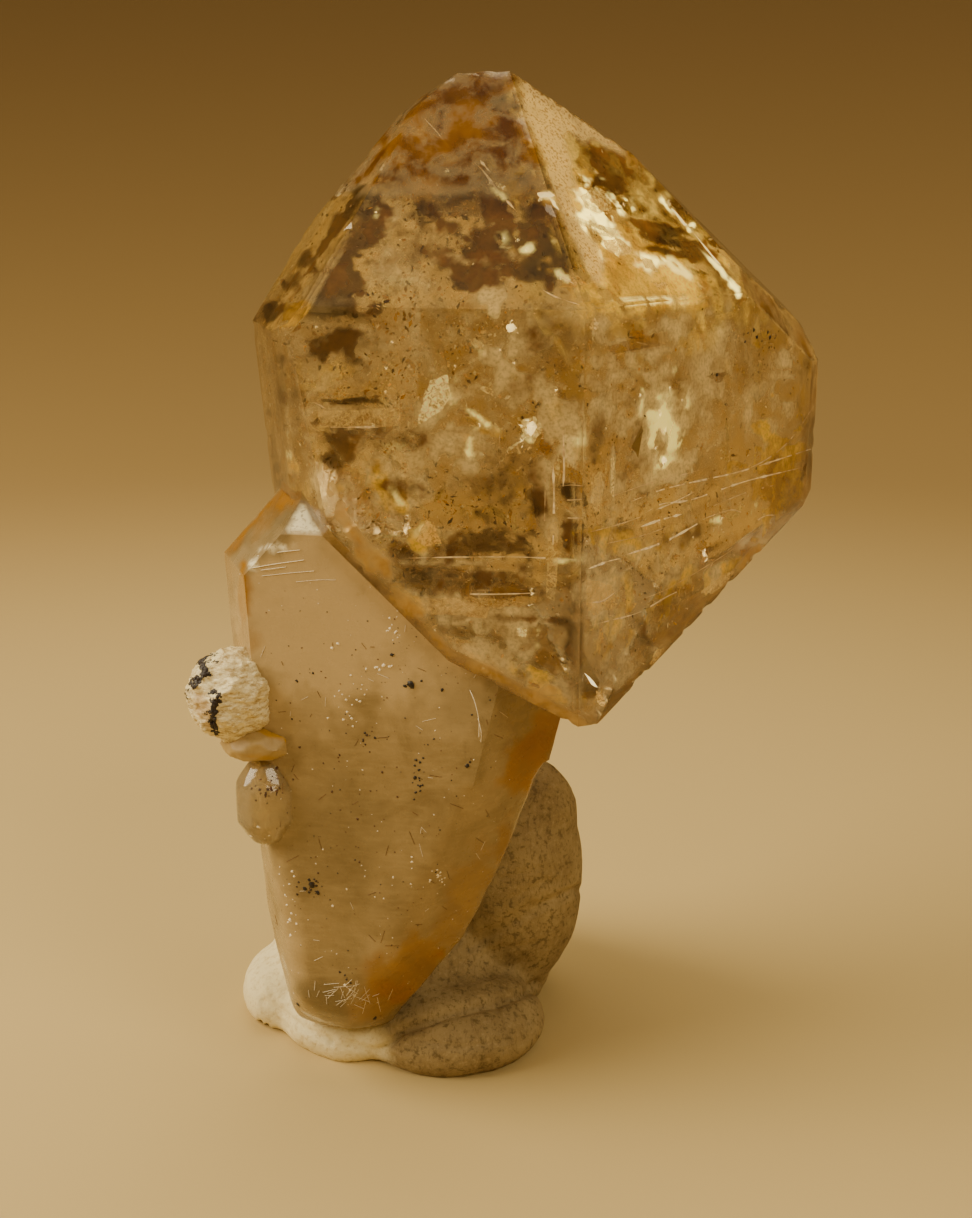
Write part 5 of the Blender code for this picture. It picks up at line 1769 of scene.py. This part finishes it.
# Pixels across which the cream colour ends, partly the putty's own colour and partly painted light; creases
# as corner pixels, depth in mm and width in pixels; pits as pixel, width in pixels and depth in mm.
CREAM_AND_LIT_END = (366.0, 392.0)
PUTTY_CREASES = (
    (((540, 985), (500, 1000), (450, 1012), (400, 1030), (380, 1050)), 0.28, 4.5),
    (((470, 948), (505, 930), (548, 905), (580, 890)), 0.2, 4.5),
    (((470, 940), (500, 925), (535, 905)), 0.12, 3.0),
    (((262, 1000), (290, 1022), (330, 1040)), 0.1, 4.0),
    (((254, 985), (262, 1010), (285, 1030)), 0.08, 3.0),
    (((350, 1045), (372, 1052), (390, 1060)), 0.12, 4.0),
    (((500, 880), (540, 868), (566, 872)), 0.06, 2.0),
    (((510, 900), (545, 884), (575, 880)), 0.07, 2.0),
    (((455, 965), (500, 950), (540, 945)), 0.06, 2.0),
    (((440, 985), (470, 980), (520, 965)), 0.07, 2.5),
    (((420, 1040), (460, 1048), (510, 1040)), 0.06, 2.5),
    (((480, 1012), (500, 1030), (505, 1050)), 0.06, 2.5),
    (((270, 985), (276, 1005), (300, 1030), (340, 1048)), 0.06, 2.0),
)
PUTTY_PITS = (
    (498, 1007, 3.0, 0.25), (257, 1027, 3.5, 0.22), (249, 1022, 2.5, 0.15), (265, 1030, 3.0, 0.2),
    (545, 880, 3.0, 0.1), (433, 1045, 2.0, 0.1), (520, 960, 2.0, 0.08), (330, 1043, 2.5, 0.12),
    (560, 905, 2.0, 0.12), (555, 950, 1.6, 0.1), (470, 1035, 1.6, 0.1), (530, 1020, 2.0, 0.1),
    (515, 905, 1.6, 0.1),
)


def line_distance(pixels, corners):
    """Distance in pixels from each point to a broken line."""
    best = np.full(len(pixels), FAR_OFF)
    for start, end in zip(corners[:-1], corners[1:]):
        start, end = np.array(start, dtype=float), np.array(end, dtype=float)
        run = end - start
        share = np.clip(((pixels - start) @ run) / (run @ run), 0.0, 1.0)
        best = np.minimum(best, np.linalg.norm(pixels - start - share[:, None] * run, axis=1))
    return best


def putty_material():
    shader = Shader("soft_putty")
    tone = shader.noise(2.4, 6.0, 0.6)
    grime = shader.noise(0.3, 5.0, 0.7)
    # grey is the putty in painted shade on its right and behind the stem; pale is the left roll's cream,
    # partly its own colour and partly painted light.
    grey = shader.mix(shader.between(tone, 0.3, 0.7), colour(140, 118, 76), colour(172, 150, 104))
    grey = shader.mix(shader.between(grime, 0.5, 0.66, 0.0, 0.75), grey, colour(88, 70, 38))
    grey = shader.mix(shader.between(grime, 0.47, 0.34, 0.0, 0.5), grey, colour(184, 162, 116))
    smear = shader.noise(0.5, 4.0, 0.65, 0.6, (3.2, 1.0, 1.0), (0.0, 0.5, 0.0))
    grey = shader.mix(shader.between(smear, 0.52, 0.7, 0.0, 0.5), grey, colour(102, 82, 48))
    pale = shader.mix(shader.between(grime, 0.45, 0.8), colour(238, 224, 176), colour(200, 174, 114))
    shader.link(shader.mix(shader.painted("cream_and_lit"), grey, pale), "Base Color")
    shader.set(Roughness=0.75)
    waves = shader.node("ShaderNodeTexWave", {"Vector": shader.coords, "Scale": 700.0, "Distortion": 7.0,
                                              "Detail": 3.0, "Detail Scale": 0.4}, bands_direction="DIAGONAL")
    prints = shader.bump(waves.outputs["Fac"], 0.12, 0.03)
    shader.link(shader.bump(shader.noise(0.22, 5.0, 0.75), 0.8, 0.09, prints), "Normal")
    return shader.mat


# Stage, in metres: where the flat floor ends, how far and how high it bends up, the
# upright wall above the bend, and the number of sides and bend steps.
FLOOR_END, BEND_OUT, BEND_UP = 0.14, 0.26, 0.30
WALL = ((0.40, 0.36), (0.40, 0.42))
FLOOR_STEP, STAGE_SIDES, BEND_STEPS = 0.02, 96, 24


def build_stage():
    """Floor that curves up into a wall all round, turned about the upright axis."""
    outline = [(FLOOR_STEP * step, 0.0) for step in range(1, 8)]
    for step in range(1, BEND_STEPS + 1):
        angle = 0.5 * math.pi * step / BEND_STEPS
        outline.append((FLOOR_END + BEND_OUT * math.sin(angle), BEND_UP * (1.0 - math.cos(angle))))
    outline += WALL
    points = [(0.0, 0.0, 0.0)]
    for radius, height in outline:
        for side in range(STAGE_SIDES):
            angle = 2.0 * math.pi * side / STAGE_SIDES
            points.append((radius * math.cos(angle), radius * math.sin(angle), height))
    points = np.array(points) / MM + np.array(FOOTPRINT_MIDDLE)
    shader = Shader("paper_with_painted_falloff")
    # Darker with distance from the middle, cream near and brown on the wall: painted light falloff.
    far = shader.node("ShaderNodeVectorMath", {0: shader.coords}, operation="LENGTH").outputs["Value"]
    tone = shader.mix(shader.between(far, 0.01, 0.15), colour(196, 172, 116), colour(158, 130, 78))
    tone = shader.mix(shader.between(far, 0.13, 0.44), tone, colour(96, 70, 30))
    shader.link(tone, "Base Color")
    shader.set(Roughness=0.85)
    shader.link(shader.bump(shader.noise(0.4, 4.0), 0.05, 0.02), "Normal")
    stage = new_object("studio_floor", points, fan_faces(len(outline), STAGE_SIDES), shader.mat)


def add_light(name, place, aim, size, power, tone):
    lamp = bpy.data.lights.new(name, "AREA")
    lamp.shape = "DISK"
    lamp.size = size
    lamp.energy = power
    lamp.color = tone
    holder = bpy.data.objects.new(name, lamp)
    bpy.context.scene.collection.objects.link(holder)
    holder.location = place
    direction = Vector(aim) - Vector(place)
    holder.rotation_euler = direction.to_track_quat("-Z", "Y").to_euler()


# Soft lights: name, place, aim, size in metres, power in watts, colour.
LIGHTS = (
    ("key_left", (-0.17, -0.02, 0.13), (0.0, 0.0, 0.02), 0.16, 0.60, (1.0, 0.87, 0.61)),
    ("fill_top", (0.03, 0.05, 0.34), (0.0, 0.0, 0.0), 0.24, 0.55, (1.0, 0.84, 0.55)),
    ("fill_right", (0.15, -0.17, 0.22), (0.0, 0.0, 0.02), 0.14, 0.34, (1.0, 0.84, 0.55)),
)
ROOM_COLOUR, ROOM_STRENGTH = (1.0, 0.80, 0.50, 1.0), 0.42


def build_lights():
    for light in LIGHTS:
        add_light(*light)
    world = bpy.data.worlds.new("soft_room")
    world.use_nodes = True
    sky = world.node_tree.nodes["Background"]
    sky.inputs["Color"].default_value = ROOM_COLOUR
    sky.inputs["Strength"].default_value = ROOM_STRENGTH
    bpy.context.scene.world = world


def build_camera():
    camera = bpy.data.cameras.new("camera")
    camera.sensor_width = SENSOR
    camera.lens = FOCAL * SENSOR / PICTURE[1]
    camera.clip_start = 0.001
    holder = bpy.data.objects.new("camera", camera)
    bpy.context.scene.collection.objects.link(holder)
    holder.location = (CAMERA_PLACE - FOOTPRINT_MIDDLE) * MM
    holder.rotation_euler = (math.pi / 2.0 - CAMERA_TILT, 0.0, 0.0)
    bpy.context.scene.camera = holder


def quartz_piece(piece):
    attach(piece, "root")
    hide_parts("quartz_crystal")


build_camera()
build_stage()
build_lights()
quartz_piece(build_head())
for veil in build_veils():
    quartz_piece(veil)
quartz_piece(build_flakes())
for cracks in build_cracks():
    quartz_piece(cracks)
quartz_piece(build_lines())
quartz_piece(build_sparkles())
stem_piece, stem_shape = build_stem()
quartz_piece(stem_piece)
knob_piece, knob_shape = build_knob()
quartz_piece(knob_piece)
quartz_piece(build_specks(stem_shape, knob_shape))
side_piece, side_shape = build_side_crystal()
quartz_piece(side_piece)
quartz_piece(build_dendrites(side_shape))
quartz_piece(build_foot_crystal())
putty = build_putty()
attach(putty, "root")
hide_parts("putty")
